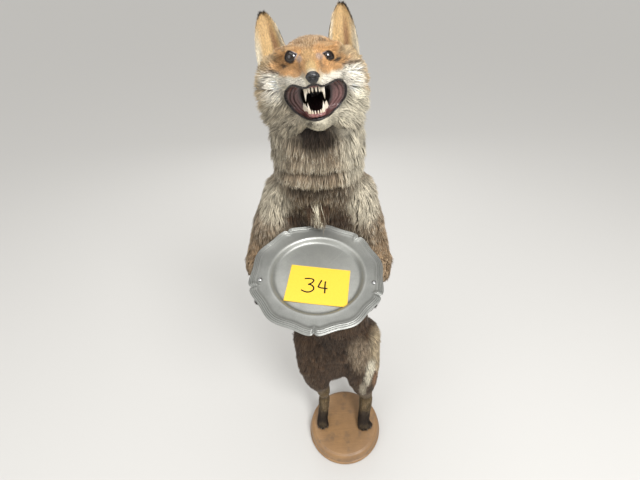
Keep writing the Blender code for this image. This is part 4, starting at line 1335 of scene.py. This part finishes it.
def addTooth(shape, root, tip, radius, bow, blunt, flatten=1.0):
    t = np.linspace(0, 1, 9)
    line = root + (tip - root) * t[:, None] + np.array((0, bow, 0)) * np.sin(np.pi * t)[:, None]
    taper = np.maximum(1 - t ** (2.6 if blunt else 1.35), 0.0) ** (0.5 if blunt else 0.85)
    tube(shape, line, radius * np.maximum(taper, 0.06), sides=12, flatten=flatten)


def addTeeth(name, row):
    shape = bmesh.new()
    s = toothSettings
    bite = np.array((0, 0, row["bite"]))
    shares = np.linspace(-1, 1, 61)
    gum = np.array([toothArch(row, share) for share in shares]) - bite * s["gumRadius"] * 0.8
    swell = 1.0 + 0.10 * np.cos(shares * 42.0)
    tube(shape, gum, s["gumRadius"] * swell, sides=14, material=1)
    for side in (-1, 1):
        for number, share in enumerate(s["incisors"]):
            root = toothArch(row, share * side)
            length, radius = row["incisor"]
            length *= 1.0 + 0.12 * number
            tip = root + bite * length + (0, 0.6, 0)
            addTooth(shape, root - bite * 1.5, tip, radius * (1 + 0.1 * number), -0.5, True)
        root = toothArch(row, s["canineShare"] * side)
        length, radius = row["canine"]
        tip = root + bite * length + (side * s["splay"][0], s["splay"][1], 0)
        addTooth(shape, root - bite * 2.5, tip, radius, -2.0, False)
        length, radius = row["cheek"]
        for share, size in s["cheekTeeth"]:
            root = toothArch(row, share * side)
            addTooth(shape, root - bite * 1.5, root + bite * length * size, radius * size, 0.0, False)
            for shift in (-1, 1):
                cusp = root + np.array((0, shift * radius * 0.95 * size, 0))
                addTooth(shape, cusp - bite * 1.5, cusp + bite * length * 0.5 * size,
                         radius * 0.62 * size, 0.0, False)
    headPiece(name, shape, toothMaterial, gumMaterial, slot="tooth", replaced=[row["cad"]])


addLining()
addLips()
for label, row in toothRows.items():
    addTeeth(label + "_jaw_teeth", row)
print("mouth added")


# The nose in mm, and its nostrils' holes and slits as places and sizes across and up a ball of radius 1.
noseSettings = {"middle": (0.0, -74.3, 11.2), "radii": (8.9, 5.9, 7.9), "nostril": 3.2, "groove": 0.9,
                "hole": (0.50, -0.02, 0.26, 0.22), "slit": (0.80, -0.26, 0.26, 0.10), "slitDepth": 0.22}


def addNose():
    s = noseSettings
    ball = bmesh.new()
    bmesh.ops.create_uvsphere(ball, u_segments=72, v_segments=48, radius=1.0)
    for vert in ball.verts:
        x, y, z = vert.co
        push = 1.0 + 0.05 * math.cos(4 * x)
        for sign in (-1, 1):
            if y < 0.2:
                out, up, wide, high = s["hole"]
                hole = math.hypot((x - sign * out) / wide, (z - up + 0.35 * (abs(x) - out)) / high)
                push -= s["nostril"] / s["radii"][1] * 0.8 * math.exp(-hole ** 2)
                out, up, wide, high = s["slit"]
                push -= s["slitDepth"] * math.exp(-math.hypot((x - sign * out) / wide, (z - up) / high) ** 2)
        if y < 0:
            push -= s["groove"] / s["radii"][1] * math.exp(-(x / 0.07) ** 2) * (z < 0.25)
        narrow = 1.0 - 0.30 * max(0.0, -z)
        flat = 0.86 if z > 0 else 1.0
        vert.co = Vector((x * push * narrow, y * push, z * flat)) * Vector(s["radii"]) + Vector(s["middle"])
    leather = makeSimple("noseLeather", (0.004, 0.004, 0.005), (0.016, 0.0155, 0.017), 1100.0, 0.0005,
                         (0.1, 0.26), Coat_Weight=0.5)
    headPiece("nose_leather", ball, leather, slot="nose", replaced=["nose"])


def makeEyeMaterial():
    material, tree, shader = addMaterial("eyeGlass", Roughness=0.04, Specular_IOR_Level=0.5, Coat_Weight=0.5,
                                         Coat_Roughness=0.01)
    depth = useGroup(tree, grain, Scale=260.0, Depth=0.0)
    feed(tree, shader, mixColours(tree, depth.outputs["Mask"], (0.004, 0.003, 0.003), (0.022, 0.011, 0.006)))
    return material


# Rings of a lid from the ball outwards: degrees past the opening, height above the ball in mm, how bare its
# inner corner is in degrees, how much of the flesh's tone shows there, and how much of the fur's.
lidRings = ((-1.5, -0.6, 0, 0, 0), (0, 0.25, 0, 0, 0), (1.6, 0.8, 1, 0.5, 0), (3.6, 1.2, 3, 1, 0.1),
            (7, 1.5, 6, 1, 0.4), (11, 1.5, 8, 0.8, 0.8), (16, 1.2, 8, 0.3, 1), (23, 0.3, 8, 0, 1))


# Polished eyeballs in the CAD's places, each with lids that grow out of the skin.
def addEyes():
    eyeMaterial = makeEyeMaterial()
    turns = np.arange(96) * 2 * np.pi / 96
    for side, middle in eyeMiddles.items():
        forward, across, up = eyeAxes(side)
        ball = bmesh.new()
        bmesh.ops.create_uvsphere(ball, u_segments=64, v_segments=40, radius=eyeSettings["radius"] - 0.1)
        for vert in ball.verts:
            vert.co += Vector(middle)
        headPiece("eyeball_" + side, ball, eyeMaterial, slot="eye", replaced=["eye_" + side])

        def rim(wider, reach, bare=0.0):
            wide, high = eyeOpening(side, turns, wider, bare)
            direction = unit(forward + np.tan(np.clip(wide, -1.35, 1.35))[:, None] * across
                             + np.tan(high)[:, None] * up)
            return middle + direction * reach

        ball = eyeSettings["radius"]
        rings = [rim(wider, ball + rise, bare) for wider, rise, bare, *_ in lidRings]
        shape = bmesh.new()
        skinned(shape, rings, capped=False)
        found = [headTree.find_nearest(Vector(place))[2] for place in fromHead(rings[-2])]
        fur = headColour[headTriangles[found]].mean(1) * 0.8
        inner = smoothStep(0.35, 0.85, -np.cos(turns))[:, None]
        colours = []
        for *_, flesh, furShare in lidRings:
            lid = mixTones(tones["black"], tones["lavender"], inner * flesh)
            colours.append(mixTones(lid, fur, furShare))
        mesh = headMesh(shape, "eyelids_" + side)
        paintMesh(mesh, "marking", np.concatenate(colours))
        addPiece("eyelids_" + side, mesh, skinMaterial, slot="face")


whiskerSettings = {"rows": 3, "perRow": 4, "length": 34.0, "radius": 0.14, "sway": 0.06}


def addWhiskers():
    s = whiskerSettings
    shape = bmesh.new()
    rng = np.random.default_rng(12)
    for side in (-1, 1):
        for row in range(s["rows"]):
            for number in range(s["perRow"]):
                start = np.array((side * (9 + 2.2 * number), -68 + 5.5 * number, 6.5 - 2.8 * row))
                start = onSkin(headTree, start[None])[0]
                reach = s["length"] * rng.uniform(0.6, 1.0) * (0.7 + 0.12 * number)
                lean = np.array((side * 0.86, 0.25 + 0.1 * number, -0.22 - 0.16 * row))
                lean += rng.normal(0, s["sway"], 3)
                t = np.linspace(0, 1, 9)[:, None]
                line = start + unit(lean) * reach * t + np.array((0, 0.22, -0.16)) * reach * t ** 2
                tube(shape, line, s["radius"] * (1 - 0.85 * t[:, 0]), sides=5)
    headPiece("whiskers", shape, lipMaterial, slot="nose")


clawSettings = {"length": 7.5, "radius": 1.5, "drop": 2.6, "forepawShare": 0.6}


def addClaws():
    horn = makeSimple("clawHorn", (0.02, 0.015, 0.011), (0.10, 0.08, 0.06), 200.0, 0.0002,
                      (0.25, 0.4), (1, 0.3, 1))
    s = clawSettings
    for node in fleshNodes:
        if "paw" not in node and "foot" not in node:
            continue
        shape = bmesh.new()
        for place, radius in toePlaces(node):
            start = place / mm + np.array((0, -radius / mm * 0.75, 0.4))
            t = np.linspace(0, 1, 8)
            reach = s["length"] * (s["forepawShare"] if "paw" in node else 1.0)
            line = start + np.stack([0 * t, -reach * t, -s["drop"] * t ** 2 + 0.8 * np.sin(np.pi * t)], 1)
            tube(shape, line, s["radius"] * (1 - 0.85 * t ** 1.4), sides=9, flatten=0.75)
        addPiece("claws_" + node, meshFrom(shape, "claws", mm), horn, slot="nose")


addNose()
addEyes()
addWhiskers()
addClaws()
print("face and claws added")


# Lengths in millimetres, turns in degrees. The plate's rim lies in its own level plane.
plateSettings = {"middle": (-48.8, -96.7, 685.0), "tilt": 12.6, "roll": 2.6, "radius": 108.7, "lobes": 5,
                 "notches": (49.5, 122.5, 196.5, 269.5, 337.5, 409.5), "wellRadius": 73.6, "wellDepth": 8.0,
                 "thickness": 1.8, "reeds": 3, "reedWidth": 2.6, "reedHeight": 1.1, "perLobe": 72}
plateFrame = (Matrix.Translation(plateSettings["middle"])
              @ Matrix.Rotation(math.radians(plateSettings["tilt"]), 4, "X")
              @ Matrix.Rotation(math.radians(plateSettings["roll"]), 4, "Y"))
plateTurn = np.array(plateFrame.to_3x3())
plateAcross, plateAlong, plateNormal = plateTurn.T


# Places in the part's frame of points given in the plate's own.
def onPlate(x, y, z):
    return np.array(plateSettings["middle"]) + np.stack([x, y, z + 0 * x], -1) @ plateTurn.T


# The outline's reach at an angle from a notch: bracket-shaped lobes that meet in cusps.
def plateOutline(step, radius):
    lobe = 360.0 / plateSettings["lobes"]
    wave = np.radians(step) * plateSettings["lobes"]
    fromNotch = np.minimum(step, lobe - step)
    curve = 0.957 + 0.006 * np.cos(wave) + 0.019 * np.cos(2 * wave)
    return radius * (curve - 0.050 * np.exp(-fromNotch / 1.5))


# The third value sets how much darker the rim is painted, as painted shade.
pewterSettings = {"dark": (0.30, 0.305, 0.285), "light": (0.47, 0.475, 0.445), "dull": 0.34,
                  "wear": (0.3, 1.08)}


def makePewter():
    s = pewterSettings
    material, tree, shader = addMaterial("pewter", Metallic=0.75)
    broad = useGroup(tree, grain, Scale=22.0, Depth=0.0022, Detail=3.0)
    fine = useGroup(tree, grain, Stretch=(1.0, 0.35, 1.0), Scale=900.0, Depth=0.00012, Detail=6.0)
    both = times(tree, broad.outputs["Mask"], 0.65)
    mixed = addNode(tree, "Math", {"operation": "MULTIPLY_ADD"},
                    {0: fine.outputs["Mask"], 1: 0.35, 2: both}).outputs[0]
    edge = addNode(tree, "NewGeometry").outputs["Pointiness"]
    worn = ranged(tree, edge, *s["wear"], 0.36, 0.52)
    aged = scaled(tree, mixColours(tree, mixed, s["dark"], s["light"]), worn)
    # The marking carries the rim's painted shade and painted light.
    rimShaded = addNode(tree, "VectorMath", {"operation": "MULTIPLY"}, {0: aged, 1: markingOf(tree)}).outputs[0]
    feed(tree, shader, rimShaded, ranged(tree, mixed, 0.55, 0.38), fine.outputs["Normal"])
    return material


def addPlate():
    s = plateSettings
    well, depth, under = s["wellRadius"], s["wellDepth"], -s["thickness"]
    # Each ring: a plain circle's radius, how far it follows the lobes, the inset from them, its height.
    profile = [(0.0, 0, 0, -depth), (20, 0, 0, -depth), (40, 0, 0, -depth), (55, 0, 0, -depth),
               (well - 11, 0, 0, -depth), (well - 8.4, 0, 0, -depth + 0.08),
               (well - 7.0, 0, 0, -depth + 0.35), (well - 5.8, 0, 0, -depth + 1.0),
               (well - 4.6, 0, 0, -depth + 2.2), (well - 3.4, 0, 0, -depth + 3.9), (well - 2.2, 0, 0, -2.4),
               (well - 1.2, 0, 0, -1.05), (well - 0.3, 0, 0, -0.45), (well + 0.8, 0, 0, 0.12),
               (well + 2.2, 0, 0, 0.2), (well + 4.2, 0, 0, -0.05), (well + 8, 0, 0, -0.1), (0, 1, 16.5, -0.1),
               (0, 1, 14.0, 0.05), (0, 1, 12.2, 0.45), (0, 1, 10.8, 0.9), (0, 1, 9.6, 1.1)]
    for reed in range(s["reeds"]):
        inset = 8.8 - reed * s["reedWidth"]
        base = 0.95 - 0.35 * reed
        for part in (0.0, 0.25, 0.5, 0.75):
            height = base + s["reedHeight"] * math.sin(math.pi * part)
            profile.append((0, 1, inset - part * s["reedWidth"], height))
    profile += [(0, 1, 1.0, -0.05), (0, 1, 0.4, 0.1), (0, 1, 0.05, -0.35), (0, 1, 0.1, -1.1),
                (0, 1, 0.8, -1.9), (0, 1, 3.0, under - 0.3), (0, 1, 11, under), (well + 1, 0, 0, under),
                (well - 1.4, 0, 0, -depth + 1.6 + under), (well - 4, 0, 0, -depth + under),
                (0.0, 0, 0, -depth + under)]
    lobe = 360.0 / s["lobes"]
    t = np.linspace(0, 1, s["perLobe"], endpoint=False)
    steps = np.tile((t - 0.12 * np.sin(2 * np.pi * t)) * lobe, s["lobes"])
    even = steps + np.repeat(np.arange(s["lobes"]) * lobe, s["perLobe"])
    turns = np.radians(np.interp(even, np.arange(s["lobes"] + 1) * lobe, s["notches"]))
    fromNotch = np.minimum(steps, lobe - steps)
    outline = plateOutline(steps, s["radius"])
    shape = bmesh.new()
    rings = []
    for circle, follow, inset, height in profile:
        reach = circle + follow * (outline - inset)
        inward = smoothStep(0, 2, inset)
        pinch = follow * np.exp(-((fromNotch - 2.4) / 1.6) ** 2) * smoothStep(15.0, 9.0, inset) * inward
        sink = follow * np.exp(-(fromNotch / 1.2) ** 2) * smoothStep(16.0, 9.0, inset) * inward
        rings.append(onPlate(reach * np.cos(turns), reach * np.sin(turns), height + 0.5 * pinch - 0.6 * sink))
    skinned(shape, rings, capped=False)
    mesh = meshFrom(shape, "platter", mm)
    points, _ = arraysOf(mesh)
    local = (points / mm - s["middle"]) @ plateTurn
    # The rim is painted darker than the well as painted shade, and left bright towards the back as painted
    # light.
    dull = smoothStep(well - 2.0, well + 6.0, np.hypot(local[:, 0], local[:, 1]))
    tone = 1.0 - dull * pewterSettings["dull"] * (1 - smoothStep(30.0, 80.0, local[:, 1]))
    paintMesh(mesh, "marking", np.column_stack([tone, tone, tone]))
    addPiece("platter", mesh, makePewter(), slot="pewter", replaced=["plate"])


def addScrews():
    across, along, normal = plateAcross, plateAlong, plateNormal
    steel = makeSimple("steel", (0.28, 0.28, 0.28), (0.5, 0.5, 0.49), 300.0, 0.0001,
                       (0.3, 0.45), Metallic=1.0)
    for side in signs:
        node = "plate_screw_" + side
        low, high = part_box(node)
        middle = np.array((low + high) / 2) / mm - normal * 1.1
        shape = bmesh.new()
        turns = np.arange(32) * 2 * np.pi / 32
        around = np.cos(turns)[:, None] * across + np.sin(turns)[:, None] * along
        rings = [middle + around * radius + normal * height for radius, height in
                 ((3.6, 0.0), (3.6, 0.5), (3.3, 1.1), (2.6, 1.65), (1.7, 2.0), (0.8, 2.15))]
        skinned(shape, rings)
        slotLine = middle + normal * 2.15 + along * np.linspace(-2.4, 2.4, 5)[:, None]
        tube(shape, slotLine, 0.35, sides=6)
        addPiece("screw_head_" + side, meshFrom(shape, node, mm), steel, slot="steel", replaced=[node])


cardSettings = {"size": (94.5, 67.5), "offset": (1.6, -18.2), "turn": -5.4, "columns": 28, "rows": 20,
                "thickness": 0.45, "lift": 0.35, "bow": 1.3, "pen": 1.2}


# The points round the edge of a grid, in order.
def borderOf(sheet):
    right = [row[-1] for row in sheet[1:]]
    left = [row[0] for row in sheet[-2:0:-1]]
    return [*sheet[0], *right, *sheet[-1][-2::-1], *left]


# A lot card with a plain hand-written number.
def addCard():
    s = cardSettings
    half = np.array(s["size"]) / 2
    turn = math.radians(s["turn"])

    def lift(x, y):
        corner = (x / half[0]) ** 2 * (0.55 - 0.45 * y / half[1])
        return -plateSettings["wellDepth"] + s["thickness"] + s["lift"] + s["bow"] * corner

    def place(x, y, z):
        return onPlate(s["offset"][0] + x * math.cos(turn) - y * math.sin(turn),
                       s["offset"][1] + x * math.sin(turn) + y * math.cos(turn), z)

    shape = bmesh.new()
    x, y = np.meshgrid(np.linspace(-half[0], half[0], s["columns"]),
                       np.linspace(-half[1], half[1], s["rows"]))
    grids = [place(x, y, lift(x, y) + z) for z in (0.0, -s["thickness"])]
    sheets = [[[shape.verts.new(point) for point in row] for row in grid] for grid in grids]
    for sheet in sheets:
        for first, second in zip(sheet, sheet[1:]):
            for index in range(s["columns"] - 1):
                shape.faces.new((first[index], first[index + 1], second[index + 1], second[index]))
    front, back = (borderOf(sheet) for sheet in sheets)
    for index in range(len(front)):
        after = (index + 1) % len(front)
        shape.faces.new((front[index], front[after], back[after], back[index]))
    paper = makeSimple("yellowCard", (0.74, 0.475, 0.03), (0.80, 0.53, 0.042), 500.0, 0.00008, (0.5, 0.65))
    addPiece("number_card", meshFrom(shape, "card", mm), paper, slot="card", replaced=["lot_card"],
             smooth=False)

    ink = makeSimple("ink", (0.002, 0.002, 0.003), (0.006, 0.006, 0.009), 500.0, 0.0001, (0.5, 0.7),
                     Specular_IOR_Level=0.2)
    # Strokes of the two figures, in millimetres on the card.
    strokes = [[(-24.5, 12.5), (-20, 13.6), (-12, 13.8), (-7.5, 11.4), (-10.5, 6.4),
                (-15.5, 3.6), (-17.0, 3.0),
                (-12.0, 3.2), (-6.0, -0.8), (-6.4, -6.0), (-12.5, -10.2), (-19.0, -10.6), (-27.0, -7.8)],
               [(5.2, 13.2), (3.2, 8.0), (0.6, 0.4), (6.0, -0.8), (17.0, -1.0)],
               [(12.0, 11.6), (11.8, 6.0), (12.6, -2.0), (13.4, -9.6)]]
    shape = bmesh.new()
    for spots in strokes:
        spots = np.array(spots) * (0.9, 1.04) + (-0.4, -3.6)
        t = np.linspace(0, len(spots) - 1, 60)
        index = np.arange(len(spots))
        line = np.stack([np.interp(t, index, spots[:, 0]), np.interp(t, index, spots[:, 1])], 1)
        for _ in range(4):
            line[1:-1] = 0.25 * line[:-2] + 0.5 * line[1:-1] + 0.25 * line[2:]
        x, y = line.T
        ahead = unit(np.gradient(line, axis=0)) * s["pen"]
        height = lift(x, y)
        rings = [place(x + ahead[:, 1] * side, y - ahead[:, 0] * side, height + rise)
                 for side, rise in ((-1, 0.0), (-0.9, 0.09), (0.9, 0.09), (1, 0.0),
                                    (0.9, -0.09), (-0.9, -0.09))]
        skinned(shape, np.stack(rings, 1))
    addPiece("card_number", meshFrom(shape, "number", mm), ink, slot="nose")


addPlate()
addScrews()
addCard()
print("plate and card added")


baseSettings = {"sides": 160, "height": 34.0}   # the height that the profile below is drawn for, in mm
woodTones = {"dark": (0.29, 0.16, 0.068), "light": (0.39, 0.225, 0.098), "stain": (0.24, 0.135, 0.06),
             "smudge": (0.13, 0.09, 0.06)}


def makeWood():
    material, tree, shader = addMaterial("stainedWood", Coat_Weight=0.12, Coat_Roughness=0.3)
    lines = useGroup(tree, grain, Stretch=(0.12, 1.0, 0.12), Scale=260.0, Depth=0.0003, Detail=5.0,
                     Low=0.25, High=0.75)
    stains = useGroup(tree, grain, Scale=16.0, Depth=0.0, Detail=4.0, Low=0.35, High=0.75)
    smudges = useGroup(tree, grain, Scale=42.0, Depth=0.0, Detail=7.0, Low=0.52, High=0.78)
    plain = mixColours(tree, lines.outputs["Mask"], woodTones["dark"], woodTones["light"])
    stained = mixColours(tree, stains.outputs["Mask"], plain, woodTones["stain"])
    dirty = mixColours(tree, times(tree, smudges.outputs["Mask"], 0.8), stained, woodTones["smudge"])
    edge = addNode(tree, "NewGeometry").outputs["Pointiness"]
    colour = scaled(tree, dirty, ranged(tree, edge, 0.55, 1.1, 0.42, 0.56))
    feed(tree, shader, colour, ranged(tree, stains.outputs["Mask"], 0.42, 0.6), lines.outputs["Normal"])
    return material


def addBase():
    low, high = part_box("base_disc")
    radius = (high[0] - low[0]) / 2 / mm
    height = (high[2] - low[2]) / mm
    share = height / baseSettings["height"]
    profile = [(0, 0), (radius - 4, 0), (radius - 2, 0.5), (radius - 0.6, 1.6), (radius, 3.4), (radius, 6.4),
               (radius - 0.8, 8.2), (radius - 2.6, 9.4), (radius - 4.4, 10.2), (radius - 4.9, 11.2),
               (radius - 4.6, 12.4)]
    profile += [(radius - 2.4 - 8.2 * (1 - math.cos(turn)), 13.4 + 18.6 * math.sin(turn))
                for turn in np.linspace(0.0, 1.45, 12)]
    rim = profile[-1][0]
    profile += [(rim - 0.6, 32.3), (rim - 1.3, 32.5), (rim - 2.0, 32.9), (rim - 2.8, 33.8)]
    profile += [(reach, baseSettings["height"]) for reach in (rim - 4.0, rim - 30, 0)]
    turns = np.arange(baseSettings["sides"]) * 2 * np.pi / baseSettings["sides"]
    shape = bmesh.new()
    rings = [np.stack([reach * np.cos(turns), reach * np.sin(turns), z * share + 0 * turns], 1)
             for reach, z in profile]
    skinned(shape, rings, capped=False)
    addPiece("turned_base", meshFrom(shape, "base", mm), makeWood(), slot="wood", replaced=["base_disc"])


addBase()
print("base added")


viewSettings = {"place": (-0.014, -0.508, 1.047), "pitch": 54.0, "lens": 19.6875, "shift": -0.03125}
aimAt = Vector((-0.03, 0.0, 0.65))
lightSettings = {
    "key": {"place": (1.0, -1.5, 2.3), "size": 1.1, "power": 60.0},
    "fill": {"place": (-1.5, -1.2, 1.5), "size": 1.6, "power": 10.0},
    "top": {"place": (-0.1, -0.2, 2.7), "size": 65.0, "power": 1.5},
    "back": {"place": (-0.3, 1.9, 1.4), "size": 1.6, "power": 8.0},
}


def addStage():
    shape = bmesh.new()
    bmesh.ops.create_grid(shape, x_segments=2, y_segments=2, size=90.0)
    floor = placed("floor", meshOf(shape, "floor"))
    floor.location.z = -0.0005
    pale, _, _ = addMaterial("paleFloor", Base_Color=(0.56, 0.55, 0.53, 1), Roughness=0.85)
    floor.data.materials.append(pale)
    world = bpy.data.worlds.new("studio")
    bpy.context.scene.world = world
    world.use_nodes = True
    backdrop = world.node_tree.nodes["Background"]
    backdrop.inputs["Color"].default_value = (1.0, 0.985, 0.95, 1)
    backdrop.inputs["Strength"].default_value = 0.45


def addLights():
    for name, values in lightSettings.items():
        data = bpy.data.lights.new(name, "SUN" if name == "top" else "AREA")
        if name == "top":
            data.angle = math.radians(values["size"])
        else:
            data.shape = "DISK"
            data.size = values["size"]
        data.energy = values["power"]
        light = placed(name, data)
        light.location = values["place"]
        light.rotation_euler = (aimAt - light.location).to_track_quat("-Z", "Y").to_euler()


def addCamera():
    data = bpy.data.cameras.new("view")
    data.lens = viewSettings["lens"]
    data.sensor_width = 36.0
    data.shift_x = viewSettings["shift"]
    camera = placed("view", data)
    camera.location = viewSettings["place"]
    camera.rotation_euler = (math.radians(viewSettings["pitch"]), 0, 0)
    bpy.context.scene.camera = camera


addStage()
addLights()
addCamera()
bpy.context.scene.view_settings.view_transform = "Standard"

print("finished")
